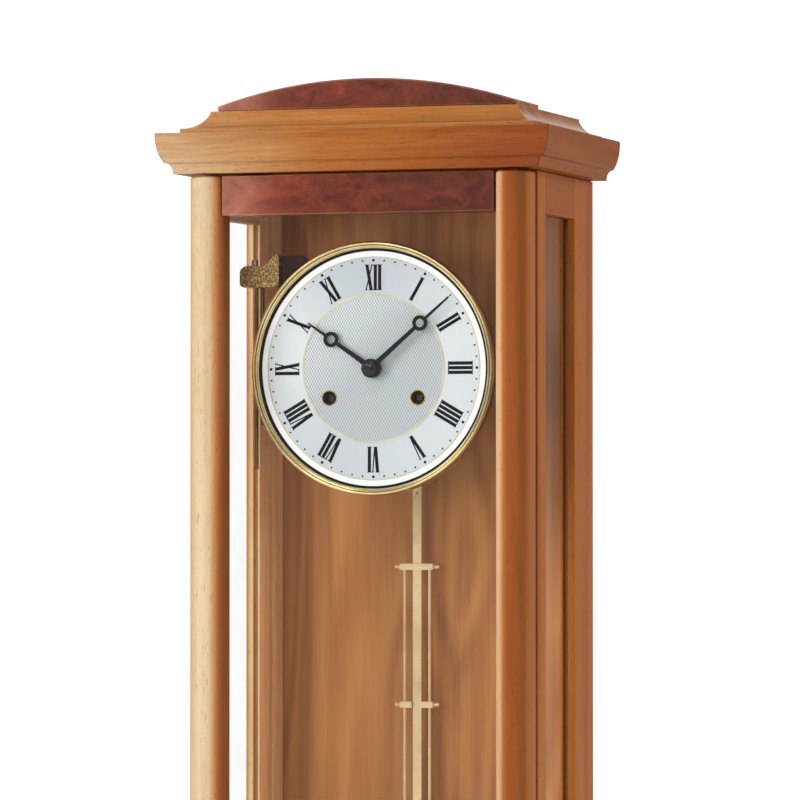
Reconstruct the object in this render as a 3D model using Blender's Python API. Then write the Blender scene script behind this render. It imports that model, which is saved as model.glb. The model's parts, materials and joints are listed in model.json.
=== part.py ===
"""Regulator wall clock: a glazed cherry case with a hinged door, a dial with two hands, a spring driven
movement with a strike train, and a grid pendulum.

Metres, +Z up. The front faces -Y and +X is to the right. The origin lies on the wall face of the case,
straight behind the centre of the dial.
"""

import math

import bmesh
import bpy
from mathutils import Matrix, Vector

# Clearances
SEAT_GAP = 0.0003
PIVOT_GAP = 0.0003
PALLET_GAP = 0.0011
MAGNET_GAP = 0.0005

# Case
CASE_WIDTH = 0.253
CASE_DEPTH = 0.142
CASE_ABOVE_DIAL = 0.1395
SIDE_THICKNESS = 0.011
FRONT_STILE = 0.020
REAR_STILE = 0.048
SIDE_RAIL = 0.030
GLASS_THICKNESS = 0.003
GLASS_SETBACK = 0.006
GROOVE_DEPTH = 0.005
BACK_THICKNESS = 0.008
BATTEN_WIDTH = 0.004
BATTEN_FRONT = 0.030

# Door
DOOR_OVERHANG = 0.0008
DOOR_THICKNESS = 0.0245
DOOR_GAP = 0.009
DOOR_STOP_WIDTH = 0.006
DOOR_STOP_GAP = 0.0017
DOOR_PLAY = 0.0015
DOOR_RAIL = 0.0285
DOOR_RAIL_THICKNESS = 0.018
DOOR_GLASS_BACKING = 0.005
PILLAR_WIDTH = 0.025
HINGE_FROM_EDGE = 0.006
HINGE_FROM_BACK = 0.013
PIN_RADIUS = 0.002
PIN_ENGAGEMENT = 0.008
MAGNET_WIDTH = 0.024
MAGNET_DEPTH = 0.014
MAGNET_HEIGHT = 0.018
MAGNET_FROM_STILE = 0.0165
STRIKE_PLATE_HEIGHT = 0.014
STRIKE_PLATE_THICKNESS = 0.0012

# Crown, cap and pediment
CROWN_SIDE_OVERHANG = 0.0097
CROWN_FRONT_OVERHANG = 0.0005
CROWN_BACKING = 0.008
CROWN_FOOT = 0.0012
CROWN_COVE_RISE = 0.0065
CROWN_COVE_RUN = 0.0050
CROWN_OVOLO_RISE = 0.0195
CROWN_OVOLO_RUN = 0.0052
CROWN_EDGE = 0.0016
CAP_INSET = 0.0142
CAP_FILLET = 0.0036
CAP_COVE_RISE = 0.0112
CAP_COVE_RUN = 0.017
CAP_EDGE = 0.002
PEDIMENT_MARGIN = 0.004
PEDIMENT_END = 0.0036
PEDIMENT_RISE = 0.0178
PEDIMENT_FACE = 0.006
PEDIMENT_DEPTH = 0.060

# Base
BASE_BOARD = 0.015
BASE_ROUND = 0.004
PLINTH_INSET = 0.004
PLINTH_COVE_RISE = 0.011
PLINTH_COVE_RUN = 0.012
PLINTH_EDGE = 0.0022

# Hanger let into the back panel
HANGER_HEIGHT_ABOVE_DIAL = 0.100
HANGER_WIDTH = 0.040
HANGER_LENGTH = 0.060
HANGER_THICKNESS = 0.002
HANGER_ROUND_HOLE = 0.005
HANGER_SLOT = 0.0025
HANGER_SLOT_RISE = 0.015
HANGER_POCKET_DEPTH = 0.004
HANGER_POCKET_MARGIN = 0.002

# Dial
DIAL_RADIUS = 0.0896
DIAL_THICKNESS = 0.0012
DIAL_SETBACK = 0.011
DIAL_CENTRE_HOLE = 0.0045
WINDING_HOLE = 0.0057
WINDING_SPREAD = 0.0334
WINDING_DROP = 0.0211
BEZEL_LIP = 0.0033
BEZEL_WALL = 0.0014
BEZEL_RISE = 0.0052
BEZEL_SKIRT = 0.0045
BEZEL_GROOVE = 0.0008
BEZEL_BEAD = 0.0022
PAN_INSET = 0.005
PAN_DEPTH = 0.014
PAN_WALL = 0.002
PAN_FLANGE = 0.038
PAN_FOOT_RADIUS = 0.0025
PAN_FOOT_SPREAD = 0.045

# Hands, showing eight minutes past ten
MINUTE_PAST = 8.2
HOUR_PAST = 10
MINUTE_HAND_LENGTH = 0.0775
MINUTE_RING_AT = 0.0490
HOUR_HAND_LENGTH = 0.0585
HOUR_RING_AT = 0.0375
HAND_RING_RADIUS = 0.0056
HAND_RING_HOLE = 0.0031
HAND_STEM_ROOT = 0.0019
HAND_STEM_NECK = 0.0013
HAND_POINT_ROOT = 0.0011
HAND_POINT_TIP = 0.0006
HAND_BOSS = 0.0069
HAND_THICKNESS = 0.0009
HAND_BOSS_EXTRA = 0.0003
HAND_SPACING = 0.0032
HOUR_HAND_ABOVE_DIAL = 0.0028
HAND_NUT_RADIUS = 0.0056
HAND_NUT_HEIGHT = 0.0034

# Movement frame
PLATE_WIDTH = 0.128
PLATE_ABOVE = 0.056
PLATE_BELOW = 0.058
PLATE_THICKNESS = 0.002
PLATE_SPACING = 0.050
DIAL_TO_FRONT_PLATE = 0.019
PILLAR_POST_RADIUS = 0.003
PILLAR_POST_INSET = 0.007
UPPER_POST_X = 0.045
LOWER_POST_X = 0.008
BACK_CORNER_WIDTH = 0.018
BACK_CORNER_HEIGHT = 0.028
COCK_WIDTH = 0.014
COCK_HEIGHT = 0.007
COCK_OVERHANG = 0.008
COCK_ABOVE_ANCHOR = 0.005
BRACKET_WIDTH = 0.090
BRACKET_WALL_WIDTH = 0.056
BRACKET_THICKNESS = 0.003
BRACKET_FLANGE = 0.024
BRACKET_SLOT_WIDTH = 0.030
BRACKET_SLOT_DEPTH = 0.030

# Wheels: numbers of teeth, and shapes as shares of a tooth's pitch and module
BARREL_TEETH = 50
CENTRE_PINION_TEETH = 10
CENTRE_TEETH = 48
THIRD_PINION_TEETH = 8
THIRD_TEETH = 40
ESCAPE_PINION_TEETH = 8
ESCAPE_TEETH = 30
CANNON_TEETH = 10
MINUTE_WHEEL_TEETH = 30
MINUTE_PINION_TEETH = 8
HOUR_TEETH = 32
STRIKE_PINION_TEETH = 10
STRIKE_TEETH = 12
SAW_LEAN = 0.35
TOOTH_ADDENDUM = 0.75
TOOTH_DEDENDUM = 1.05
TOOTH_TIP_SHARE = 0.09
TOOTH_ROOT_SHARE = 0.27
THIRD_DISTANCE = 0.0224
ESCAPE_DISTANCE = 0.0168
ESCAPE_ABOVE_DIAL = 0.026
ESCAPE_RADIUS = 0.012
ESCAPE_TOOTH = 0.003
MOTION_DISTANCE = 0.012
MOTION_ANGLE = math.radians(-60)
STRIKE_WHEEL_ANGLE = math.radians(100)
STRIKE_WHEEL_RADIUS = 0.011
BARREL_GEAR_WIDTH = 0.003
BARREL_DRUM_RADIUS = 0.028
BARREL_DRUM_LENGTH = 0.028
WHEEL_WIDTH = 0.0015
PINION_WIDTH = 0.005
THIN_PINION_MARGIN = 0.0005
ARBOR_RADIUS = 0.0015
PIVOT_RADIUS = 0.0008
WINDING_ARBOR_RADIUS = 0.003
WINDING_SQUARE = 0.0019
WINDING_SQUARE_SETBACK = 0.0040
PIPE_WALL = 0.0008
CENTRE_TIP_RADIUS = 0.0009
THIRD_BEHIND_PLATE = 0.0013
TIME_GEAR_BEHIND_PLATE = 0.005
STRIKE_DISC_BEHIND_PLATE = 0.006
HAMMER_BEHIND_PLATE = 0.0015
ESCAPE_BEFORE_BACK_PLATE = 0.015
CENTRE_BEFORE_BACK_PLATE = 0.0065
STRIKE_GEAR_CLEARANCE = 0.0005
MOTION_BEFORE_PLATE = 0.0055
HOUR_BEFORE_MOTION = 0.0037

# Anchor and crutch
ANCHOR_ABOVE_ESCAPE = 0.017
PALLET_ANGLE = math.radians(51)
ANCHOR_HUB = 0.0040
ANCHOR_ARM = 0.0040
ANCHOR_WIDTH = 0.003
CRUTCH_WIDTH = 0.005
CRUTCH_THICKNESS = 0.0015
CRUTCH_LENGTH = 0.036
CRUTCH_BEHIND_PLATE = 0.006
FORK_WIDTH = 0.013
FORK_HEIGHT = 0.004

# Strike hammer and gong
HAMMER_X = -0.060
HAMMER_Z = 0.008
HAMMER_HEAD_Z = 0.040
HAMMER_HEAD_RADIUS = 0.0035
HAMMER_HEAD_LENGTH = 0.010
HAMMER_ARM = 0.003
HAMMER_REST_GAP = 0.0008
GONG_ROD_RADIUS = 0.0015
GONG_ROD_SPACING = 0.0045
GONG_ROD_SEAT = 0.008
GONG_LOW_LENGTH = 0.140
GONG_HIGH_LENGTH = 0.108
GONG_BLOCK_CLEARANCE = 0.0096
GONG_BLOCK_WIDTH = 0.030
GONG_BLOCK_BOTTOM = 0.060
GONG_BLOCK_SHOULDER = 0.077
GONG_BLOCK_PEAK = 0.084
GONG_BLOCK_DEPTH = 0.018
GONG_LUG_OVERLAP = 0.012
GONG_LUG_REACH = 0.0205
GONG_LUG_CORNER = 0.005
GONG_BEHIND_PLATE_FRONT = 0.001
GONG_ROD_INSET = 0.0145

# Pendulum
PENDULUM_FROM_WALL = 0.028
STRIP_WIDTH = 0.0066
STRIP_THICKNESS = 0.0012
CLIP_WIDTH = 0.010
CLIP_HEIGHT = 0.007
CLIP_THICKNESS = 0.004
SPRING_WIDTH = 0.006
SPRING_THICKNESS = 0.0005
SPRING_BEND_GAP = 0.0002
GRID_TOP_BELOW_DIAL = 0.1432
GRID_PITCH = 0.1013
GRID_BARS = 3
GRID_ROD_RADIUS = 0.0012
GRID_ROD_SPREAD = 0.0096
GRID_BAR_WIDTH = 0.0254
GRID_BAR_HEIGHT = 0.0046
GRID_BAR_DEPTH = 0.006
GRID_KNOB_RADIUS = 0.0016
GRID_KNOB_LENGTH = 0.0042
BOB_RADIUS = 0.036
BOB_THICKNESS = 0.014
BOB_RIM = 0.005
BOB_BELOW_GRID = 0.007
BOB_TRAVEL = 0.0035
STRIP_HOLE_BELOW_DIAL = 0.089
STRIP_HOLE = 0.0011
THREAD_RADIUS = 0.0015
THREAD_BELOW_NUT = 0.0085
PENDULUM_TO_FLOOR = 0.0111
NUT_RADIUS = 0.0065
NUT_HEIGHT = 0.005
NUT_FACETS = 18

# Mesh fineness
ROUND_STEPS = 48
PIPE_STEPS = 20
ARBOR_STEPS = 12
ARC_STEPS = 5
BEAD_STEPS = 3
PILLAR_STEPS = 14
SMOOTH_ANGLE = math.radians(30)

# Heights down the pendulum
GRID_FOOT = -GRID_TOP_BELOW_DIAL - (GRID_BARS - 1) * GRID_PITCH - GRID_BAR_HEIGHT / 2
BOB_Z = GRID_FOOT - BOB_BELOW_GRID - BOB_RADIUS
STRIP_END = BOB_Z + BOB_RADIUS + BOB_TRAVEL + THREAD_RADIUS
NUT_TOP = BOB_Z - BOB_RADIUS - SEAT_GAP
THREAD_END = NUT_TOP - NUT_HEIGHT - THREAD_BELOW_NUT

# Places worked out from the sizes
HALF_CASE = CASE_WIDTH / 2
INNER_FACE = HALF_CASE - SIDE_THICKNESS
CASE_TOP = CASE_ABOVE_DIAL
CASE_FLOOR = THREAD_END - PENDULUM_TO_FLOOR
FRONT_STILE_BACK = -CASE_DEPTH + FRONT_STILE
SIDE_GLASS_X = HALF_CASE - GLASS_SETBACK - GLASS_THICKNESS / 2
GROOVE_HALF = GLASS_THICKNESS / 2 + SEAT_GAP
GLASS_REACH = GROOVE_DEPTH - SEAT_GAP
HALF_DOOR = HALF_CASE + DOOR_OVERHANG
DOOR_BACK = -CASE_DEPTH - DOOR_GAP
DOOR_FRONT = DOOR_BACK - DOOR_THICKNESS
DOOR_TOP = CASE_TOP - DOOR_PLAY
DOOR_BOTTOM = CASE_FLOOR + DOOR_PLAY
DOOR_GLASS_Y = DOOR_BACK - DOOR_GLASS_BACKING - GROOVE_HALF
PILLAR_RADIUS = PILLAR_WIDTH / 2
PILLAR_CENTRE_Y = DOOR_FRONT + PILLAR_RADIUS
DOOR_INNER = HALF_DOOR - PILLAR_WIDTH
MAGNET_OFFSET = DOOR_INNER - MAGNET_FROM_STILE
HINGE_X = HALF_DOOR - HINGE_FROM_EDGE
HINGE_Y = DOOR_BACK - HINGE_FROM_BACK
CROWN_HALF = HALF_DOOR + CROWN_SIDE_OVERHANG
CROWN_FRONT = -DOOR_FRONT + CROWN_FRONT_OVERHANG
CROWN_RUN = CROWN_COVE_RUN + CROWN_OVOLO_RUN
CROWN_BASE = CASE_TOP + SEAT_GAP
CROWN_TOP = CROWN_BASE + CROWN_FOOT + CROWN_COVE_RISE + CROWN_OVOLO_RISE + CROWN_EDGE
CAP_BASE = CROWN_TOP + SEAT_GAP
CAP_TOP = CAP_BASE + CAP_FILLET + CAP_COVE_RISE + CAP_EDGE
CAP_HALF = CROWN_HALF + CROWN_RUN - CAP_INSET
CAP_FRONT = CROWN_FRONT + CROWN_RUN - CAP_INSET
PEDIMENT_HALF = CAP_HALF - CAP_COVE_RUN - PEDIMENT_MARGIN
PEDIMENT_FRONT = -(CAP_FRONT - CAP_COVE_RUN - PEDIMENT_MARGIN)
PEDIMENT_BASE = CAP_TOP + SEAT_GAP
BASE_TOP = CASE_FLOOR - SEAT_GAP
PLINTH_TOP = BASE_TOP - BASE_BOARD - SEAT_GAP
DIAL_FACE = -CASE_DEPTH + DIAL_SETBACK
DIAL_BACK = DIAL_FACE + DIAL_THICKNESS
PAN_RADIUS = DIAL_RADIUS - PAN_INSET
PAN_FRONT = DIAL_BACK + SEAT_GAP
PAN_BACK = PAN_FRONT + PAN_DEPTH
FRONT_PLATE_FRONT = DIAL_FACE + DIAL_TO_FRONT_PLATE
FRONT_PLATE_BACK = FRONT_PLATE_FRONT + PLATE_THICKNESS
BACK_PLATE_FRONT = FRONT_PLATE_BACK + PLATE_SPACING
BACK_PLATE_BACK = BACK_PLATE_FRONT + PLATE_THICKNESS
PENDULUM_Y = -PENDULUM_FROM_WALL
HOUR_HAND_Y = DIAL_FACE - HOUR_HAND_ABOVE_DIAL
MINUTE_HAND_Y = HOUR_HAND_Y - HAND_SPACING
HAND_NUT_Y = MINUTE_HAND_Y - HAND_THICKNESS - HAND_BOSS_EXTRA - SEAT_GAP
CANNON_BORE = CENTRE_TIP_RADIUS + PIVOT_GAP
CANNON_RADIUS = CANNON_BORE + PIPE_WALL
HOUR_PIPE_BORE = CANNON_RADIUS + PIVOT_GAP
HOUR_PIPE_RADIUS = HOUR_PIPE_BORE + PIPE_WALL
CANNON_END = HAND_NUT_Y - HAND_NUT_HEIGHT / 2
MINUTE_ANGLE = math.radians(MINUTE_PAST * 6)
HOUR_ANGLE = math.radians((HOUR_PAST + MINUTE_PAST / 60) * 30)

# Wheel centres as (x, z), with the going train on the right and the strike train on the left
CENTRE = Vector((0, 0))
TIME_BARREL = Vector((WINDING_SPREAD, -WINDING_DROP))
STRIKE_BARREL = Vector((-WINDING_SPREAD, -WINDING_DROP))
ESCAPE = Vector((0, ESCAPE_ABOVE_DIAL))
THIRD_Z = (THIRD_DISTANCE**2 - ESCAPE_DISTANCE**2 + ESCAPE_ABOVE_DIAL**2) / (2 * ESCAPE_ABOVE_DIAL)
THIRD = Vector((-math.sqrt(THIRD_DISTANCE**2 - THIRD_Z**2), THIRD_Z))
ANCHOR = ESCAPE + Vector((0, ANCHOR_ABOVE_ESCAPE))
MINUTE_POST = MOTION_DISTANCE * Vector((math.cos(MOTION_ANGLE), math.sin(MOTION_ANGLE)))
BARREL_DISTANCE = TIME_BARREL.length
STRIKE_WHEEL = STRIKE_BARREL + BARREL_DISTANCE * Vector(
    (math.cos(STRIKE_WHEEL_ANGLE), math.sin(STRIKE_WHEEL_ANGLE))
)
HAMMER = Vector((HAMMER_X, HAMMER_Z))
COCK_BASE = ANCHOR.y + COCK_ABOVE_ANCHOR
GONG_Y = FRONT_PLATE_FRONT + GONG_BEHIND_PLATE_FRONT
GONG_BLOCK_LEFT = -INNER_FACE + GONG_BLOCK_CLEARANCE
GONG_BLOCK_RIGHT = GONG_BLOCK_LEFT + GONG_BLOCK_WIDTH
GONG_RIGHT_ROD_X = GONG_BLOCK_LEFT + GONG_ROD_INSET
HAMMER_HEAD_LEFT = GONG_RIGHT_ROD_X + GONG_ROD_RADIUS + HAMMER_REST_GAP

# Levels along the arbors, from the front plate backwards
THIRD_LEVEL = FRONT_PLATE_BACK + THIRD_BEHIND_PLATE
TIME_GEAR_LEVEL = FRONT_PLATE_BACK + TIME_GEAR_BEHIND_PLATE
STRIKE_DISC_LEVEL = FRONT_PLATE_BACK + STRIKE_DISC_BEHIND_PLATE
HAMMER_LEVEL = FRONT_PLATE_BACK + HAMMER_BEHIND_PLATE
ESCAPE_LEVEL = BACK_PLATE_FRONT - ESCAPE_BEFORE_BACK_PLATE
CENTRE_LEVEL = BACK_PLATE_FRONT - CENTRE_BEFORE_BACK_PLATE
STRIKE_GEAR_LEVEL = CENTRE_LEVEL - BARREL_GEAR_WIDTH - STRIKE_GEAR_CLEARANCE
MOTION_LEVEL = FRONT_PLATE_FRONT - MOTION_BEFORE_PLATE
HOUR_LEVEL = MOTION_LEVEL - HOUR_BEFORE_MOTION

# Finishes: colour, roughness, metallic
CHERRY = ((0.50, 0.25, 0.10), 0.35, 0.0)
CHERRY_PALE = ((0.58, 0.33, 0.14), 0.38, 0.0)
BURL = ((0.24, 0.075, 0.035), 0.28, 0.0)
BACK_VENEER = ((0.40, 0.19, 0.085), 0.45, 0.0)
CLEAR_GLASS = ((0.92, 0.95, 0.94), 0.05, 0.0)
DIAL_WHITE = ((0.86, 0.86, 0.84), 0.45, 0.1)
GILT = ((0.78, 0.57, 0.22), 0.22, 1.0)
BRASS = ((0.72, 0.53, 0.24), 0.32, 1.0)
PENDULUM_BRASS = ((0.83, 0.68, 0.42), 0.35, 1.0)
STEEL = ((0.55, 0.55, 0.54), 0.30, 1.0)
DARK_STEEL = ((0.10, 0.10, 0.10), 0.40, 0.9)
HAND_BLACK = ((0.012, 0.012, 0.012), 0.35, 0.2)
BRONZED = ((0.32, 0.20, 0.06), 0.55, 0.8)


def point(axis, a, b, along):
    """A point from two coordinates across an axis and one along it."""
    if axis == "X":
        return Vector((along, a, b))
    if axis == "Y":
        return Vector((a, along, b))
    return Vector((a, b, along))


def prism(outline, axis, low, high):
    """A closed outline drawn across an axis and extruded along it."""
    shape = bmesh.new()
    corners = [shape.verts.new(point(axis, a, b, low)) for a, b in outline]
    face = shape.faces.new(corners)
    grown = bmesh.ops.extrude_face_region(shape, geom=[face])["geom"]
    moved = [item for item in grown if isinstance(item, bmesh.types.BMVert)]
    bmesh.ops.translate(shape, verts=moved, vec=point(axis, 0, 0, high - low))
    bmesh.ops.recalc_face_normals(shape, faces=shape.faces)
    return shape


def box(x, y, z):
    """A block between pairs of limits."""
    outline = [(x[0], y[0]), (x[1], y[0]), (x[1], y[1]), (x[0], y[1])]
    return prism(outline, "Z", z[0], z[1])


def turned(profile, axis, centre, steps):
    """A profile of (radius, along) spun round an axis: open from axis to axis, or else a closed ring."""
    shape = bmesh.new()
    rim = [shape.verts.new(point(axis, centre[0] + radius, centre[1], along)) for radius, along in profile]
    edges = [shape.edges.new(pair) for pair in zip(rim, rim[1:])]
    if profile[0][0] > 0:
        edges.append(shape.edges.new((rim[-1], rim[0])))
    bmesh.ops.spin(
        shape,
        geom=rim + edges,
        cent=point(axis, centre[0], centre[1], 0),
        axis=point(axis, 0, 0, 1),
        angle=math.tau,
        steps=steps,
        use_merge=True,
    )
    bmesh.ops.remove_doubles(shape, verts=shape.verts, dist=1e-7)
    bmesh.ops.recalc_face_normals(shape, faces=shape.faces)
    return shape


def cylinder(axis, centre, radius, low, high, steps=ARBOR_STEPS):
    """A plain round bar."""
    return turned([(0, low), (radius, low), (radius, high), (0, high)], axis, centre, steps)


def bridged(loops):
    """A solid through matching loops of points, closed at both ends."""
    shape = bmesh.new()
    rings = [[shape.verts.new(corner) for corner in loop] for loop in loops]
    hoops = [[shape.edges.new(pair) for pair in zip(ring, ring[1:] + ring[:1])] for ring in rings]
    for lower, upper in zip(hoops, hoops[1:]):
        bmesh.ops.bridge_loops(shape, edges=lower + upper)
    shape.faces.new(rings[0])
    shape.faces.new(rings[-1])
    bmesh.ops.recalc_face_normals(shape, faces=shape.faces)
    return shape


def helper(shape):
    """A hidden object that holds a shape for a Boolean."""
    data = bpy.data.meshes.new("helper")
    shape.to_mesh(data)
    shape.free()
    holder = bpy.data.objects.new("helper", data)
    holder.hide_render = True
    holder.display_type = "WIRE"
    bpy.context.scene.collection.objects.link(holder)
    return holder


def boolean(operation, body, tools):
    """The body joined with, or cut by, each of the tools in turn."""
    host = helper(body)
    holders = [helper(tool) for tool in tools]
    for holder in holders:
        step = host.modifiers.new(operation, "BOOLEAN")
        step.operation = operation
        step.solver = "EXACT"
        step.object = holder
    result = bmesh.new()
    result.from_object(host, bpy.context.evaluated_depsgraph_get())
    for spent in [host] + holders:
        bpy.data.objects.remove(spent, do_unlink=True)
    return result


def union(body, *tools):
    """The body with the tools joined on."""
    return boolean("UNION", body, tools)


def cut(body, *tools):
    """The body with the tools taken away."""
    return boolean("DIFFERENCE", body, tools)


def together(shapes):
    """Several separate shapes in one mesh."""
    whole = bmesh.new()
    for shape in shapes:
        data = bpy.data.meshes.new("helper")
        shape.to_mesh(data)
        shape.free()
        whole.from_mesh(data)
        bpy.data.meshes.remove(data)
    return whole


def group(name, place=(0, 0, 0)):
    """An empty that carries the pieces of one assembly."""
    empty = bpy.data.objects.new(name, None)
    empty.location = place
    bpy.context.scene.collection.objects.link(empty)
    return empty


def material(name, finish):
    """A Principled BSDF with the piece's own colour."""
    colour, roughness, metallic = finish
    made = bpy.data.materials.new(name)
    made.use_nodes = True
    shader = made.node_tree.nodes["Principled BSDF"]
    shader.inputs["Base Color"].default_value = (*colour, 1.0)
    shader.inputs["Roughness"].default_value = roughness
    shader.inputs["Metallic"].default_value = metallic
    made.diffuse_color = (*colour, 1.0)
    return made


def piece(name, shape, finish, carrier, pivot=(0, 0, 0), smooth=False):
    """A named object made from a shape, with its origin on the pivot and its own material."""
    origin = Vector(pivot)
    bmesh.ops.translate(shape, verts=shape.verts, vec=-origin)
    data = bpy.data.meshes.new(name)
    shape.to_mesh(data)
    shape.free()
    if smooth:
        data.shade_smooth()
        data.set_sharp_from_angle(angle=SMOOTH_ANGLE)
    data.materials.append(material(name + "_finish", finish))
    made = bpy.data.objects.new(name, data)
    made.location = origin
    bpy.context.scene.collection.objects.link(made)
    made.parent = carrier
    made.matrix_parent_inverse = Matrix.Translation(-Vector(carrier.location))
    return made


def arc(start, end, first, last, steps=ARC_STEPS):
    """Points on an elliptical arc from start to end: across by the sine, up by the cosine of the angle."""
    across = math.sin(last) - math.sin(first)
    rise = math.cos(last) - math.cos(first)
    points = []
    for step in range(steps + 1):
        angle = first + (last - first) * step / steps
        a = (math.sin(angle) - math.sin(first)) / across
        b = (math.cos(angle) - math.cos(first)) / rise
        points.append((start[0] + (end[0] - start[0]) * a, start[1] + (end[1] - start[1]) * b))
    return points


def along_y(place, y):
    """A wheel centre given as (x, z), at a depth."""
    return (place[0], y, place[1])


# Case


def side_frame(label, side, carrier):
    """The stiles, rails and glass of one side: -1 is left, 1 is right; the front stile has a door stop."""
    outer = side * HALF_CASE
    inner = side * INNER_FACE
    groove = (side * (SIDE_GLASS_X + GROOVE_HALF), side * (SIDE_GLASS_X - GROOVE_HALF))
    low = CASE_FLOOR
    high = CASE_TOP
    front = [(outer, -CASE_DEPTH), (outer, FRONT_STILE_BACK), (groove[0], FRONT_STILE_BACK)]
    front += [(groove[0], FRONT_STILE_BACK - GROOVE_DEPTH), (groove[1], FRONT_STILE_BACK - GROOVE_DEPTH)]
    stop = side * (INNER_FACE + DOOR_STOP_WIDTH)
    stop_front = DOOR_BACK + DOOR_STOP_GAP
    front += [(groove[1], FRONT_STILE_BACK), (inner, FRONT_STILE_BACK), (inner, stop_front)]
    front += [(stop, stop_front), (stop, -CASE_DEPTH)]
    piece(label + "_front_stile", prism(front, "Z", low, high), CHERRY, carrier)

    step = side * (INNER_FACE - BATTEN_WIDTH)
    shelf = -BACK_THICKNESS - SEAT_GAP
    rear = [(outer, 0), (outer, -REAR_STILE), (groove[0], -REAR_STILE)]
    rear += [(groove[0], -REAR_STILE + GROOVE_DEPTH), (groove[1], -REAR_STILE + GROOVE_DEPTH)]
    rear += [(groove[1], -REAR_STILE), (inner, -REAR_STILE), (inner, -BATTEN_FRONT), (step, -BATTEN_FRONT)]
    rear += [(step, shelf), (inner, shelf), (inner, 0)]
    piece(label + "_rear_stile", prism(rear, "Z", low, high), CHERRY, carrier)

    reach = (FRONT_STILE_BACK + SEAT_GAP, -REAR_STILE - SEAT_GAP)
    for level, edge, away in (("top", high, -1), ("bottom", low, 1)):
        free = edge + away * SIDE_RAIL
        floor = free - away * GROOVE_DEPTH
        rail = [(outer, edge), (outer, free), (groove[0], free), (groove[0], floor), (groove[1], floor)]
        rail += [(groove[1], free), (inner, free), (inner, edge)]
        piece(f"{label}_{level}_rail", prism(rail, "Y", *reach), CHERRY, carrier)

    glass_x = sorted(side * (SIDE_GLASS_X + half) for half in (-GLASS_THICKNESS / 2, GLASS_THICKNESS / 2))
    glass_y = (FRONT_STILE_BACK - GLASS_REACH, -REAR_STILE + GLASS_REACH)
    glass_z = (low + SIDE_RAIL - GLASS_REACH, high - SIDE_RAIL + GLASS_REACH)
    piece(label + "_side_glass", box(glass_x, glass_y, glass_z), CLEAR_GLASS, carrier)


def hanger_outline(margin):
    """The keyhole: a round hole with a narrow slot above it, grown by a margin."""
    radius = HANGER_ROUND_HOLE + margin
    slot = HANGER_SLOT + margin
    low = HANGER_HEIGHT_ABOVE_DIAL
    top = low + HANGER_SLOT_RISE
    meet = math.asin(slot / radius)
    outline = []
    for step in range(ROUND_STEPS // 4 + 1):
        angle = meet + (math.tau - 2 * meet) * step / (ROUND_STEPS // 4)
        outline.append((radius * math.sin(angle), low + radius * math.cos(angle)))
    for step in range(ARBOR_STEPS // 2 + 1):
        angle = -math.pi / 2 + math.pi * step / (ARBOR_STEPS // 2)
        outline.append((slot * math.sin(angle), top + slot * math.cos(angle)))
    return outline


def back_panel(carrier):
    """The veneered back, with a recess for the hanger plate and a pocket behind its keyhole."""
    half = INNER_FACE - SEAT_GAP
    panel = box((-half, half), (-BACK_THICKNESS, 0), (CASE_FLOOR, CASE_TOP))
    plate_half = HANGER_WIDTH / 2 + SEAT_GAP
    plate_z = (
        HANGER_HEIGHT_ABOVE_DIAL - HANGER_LENGTH / 2 - SEAT_GAP,
        HANGER_HEIGHT_ABOVE_DIAL + HANGER_LENGTH / 2 + SEAT_GAP,
    )
    depth = HANGER_THICKNESS + SEAT_GAP
    recess = box((-plate_half, plate_half), (-depth, SEAT_GAP), plate_z)
    pocket = prism(hanger_outline(HANGER_POCKET_MARGIN), "Y", -depth - HANGER_POCKET_DEPTH, -depth / 2)
    piece("back_panel", cut(panel, recess, pocket), BACK_VENEER, carrier)


def hanger_plate(carrier):
    """The steel keyhole plate that hangs on the wall hook."""
    half = HANGER_WIDTH / 2
    z = (HANGER_HEIGHT_ABOVE_DIAL - HANGER_LENGTH / 2, HANGER_HEIGHT_ABOVE_DIAL + HANGER_LENGTH / 2)
    plate = box((-half, half), (-HANGER_THICKNESS, 0), z)
    keyhole = prism(hanger_outline(0), "Y", -2 * HANGER_THICKNESS, HANGER_THICKNESS)
    piece("hanger_plate", cut(plate, keyhole), STEEL, carrier)


# Crown, cap, pediment and base


def crown_section():
    """The crown moulding's outline: out from its lower edge, up from its foot."""
    cove_top = CROWN_FOOT + CROWN_COVE_RISE
    ovolo_top = cove_top + CROWN_OVOLO_RISE
    section = [(0, 0)]
    section += arc((0, CROWN_FOOT), (CROWN_COVE_RUN, cove_top), math.pi / 2, math.pi)
    section += arc((CROWN_COVE_RUN, cove_top), (CROWN_RUN, ovolo_top), math.radians(35), math.pi / 2)[1:]
    section += [(CROWN_RUN, ovolo_top + CROWN_EDGE), (-CROWN_BACKING, ovolo_top + CROWN_EDGE)]
    return section + [(-CROWN_BACKING, 0)]


def crown_mouldings(carrier):
    """Three mitred lengths of the crown moulding."""
    section = crown_section()
    front = []
    for side in (-1, 1):
        ends = [(side * (CROWN_HALF + u - SEAT_GAP), -CROWN_FRONT - u, CROWN_BASE + v) for u, v in section]
        front.append(ends)
    piece("crown_front_moulding", bridged(front), CHERRY_PALE, carrier, smooth=True)
    for label, side in (("left", -1), ("right", 1)):
        mitre = [(side * (CROWN_HALF + u), -CROWN_FRONT - u + SEAT_GAP, CROWN_BASE + v) for u, v in section]
        wall = [(side * (CROWN_HALF + u), 0, CROWN_BASE + v) for u, v in section]
        name = f"crown_{label}_moulding"
        piece(name, bridged([mitre, wall]), CHERRY_PALE, carrier, smooth=True)


def pin_hole(base_level, top_level):
    """A cutter for a pivot pin's hole."""
    return cylinder("Z", (HINGE_X, HINGE_Y), PIN_RADIUS + PIVOT_GAP, base_level, top_level)


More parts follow.
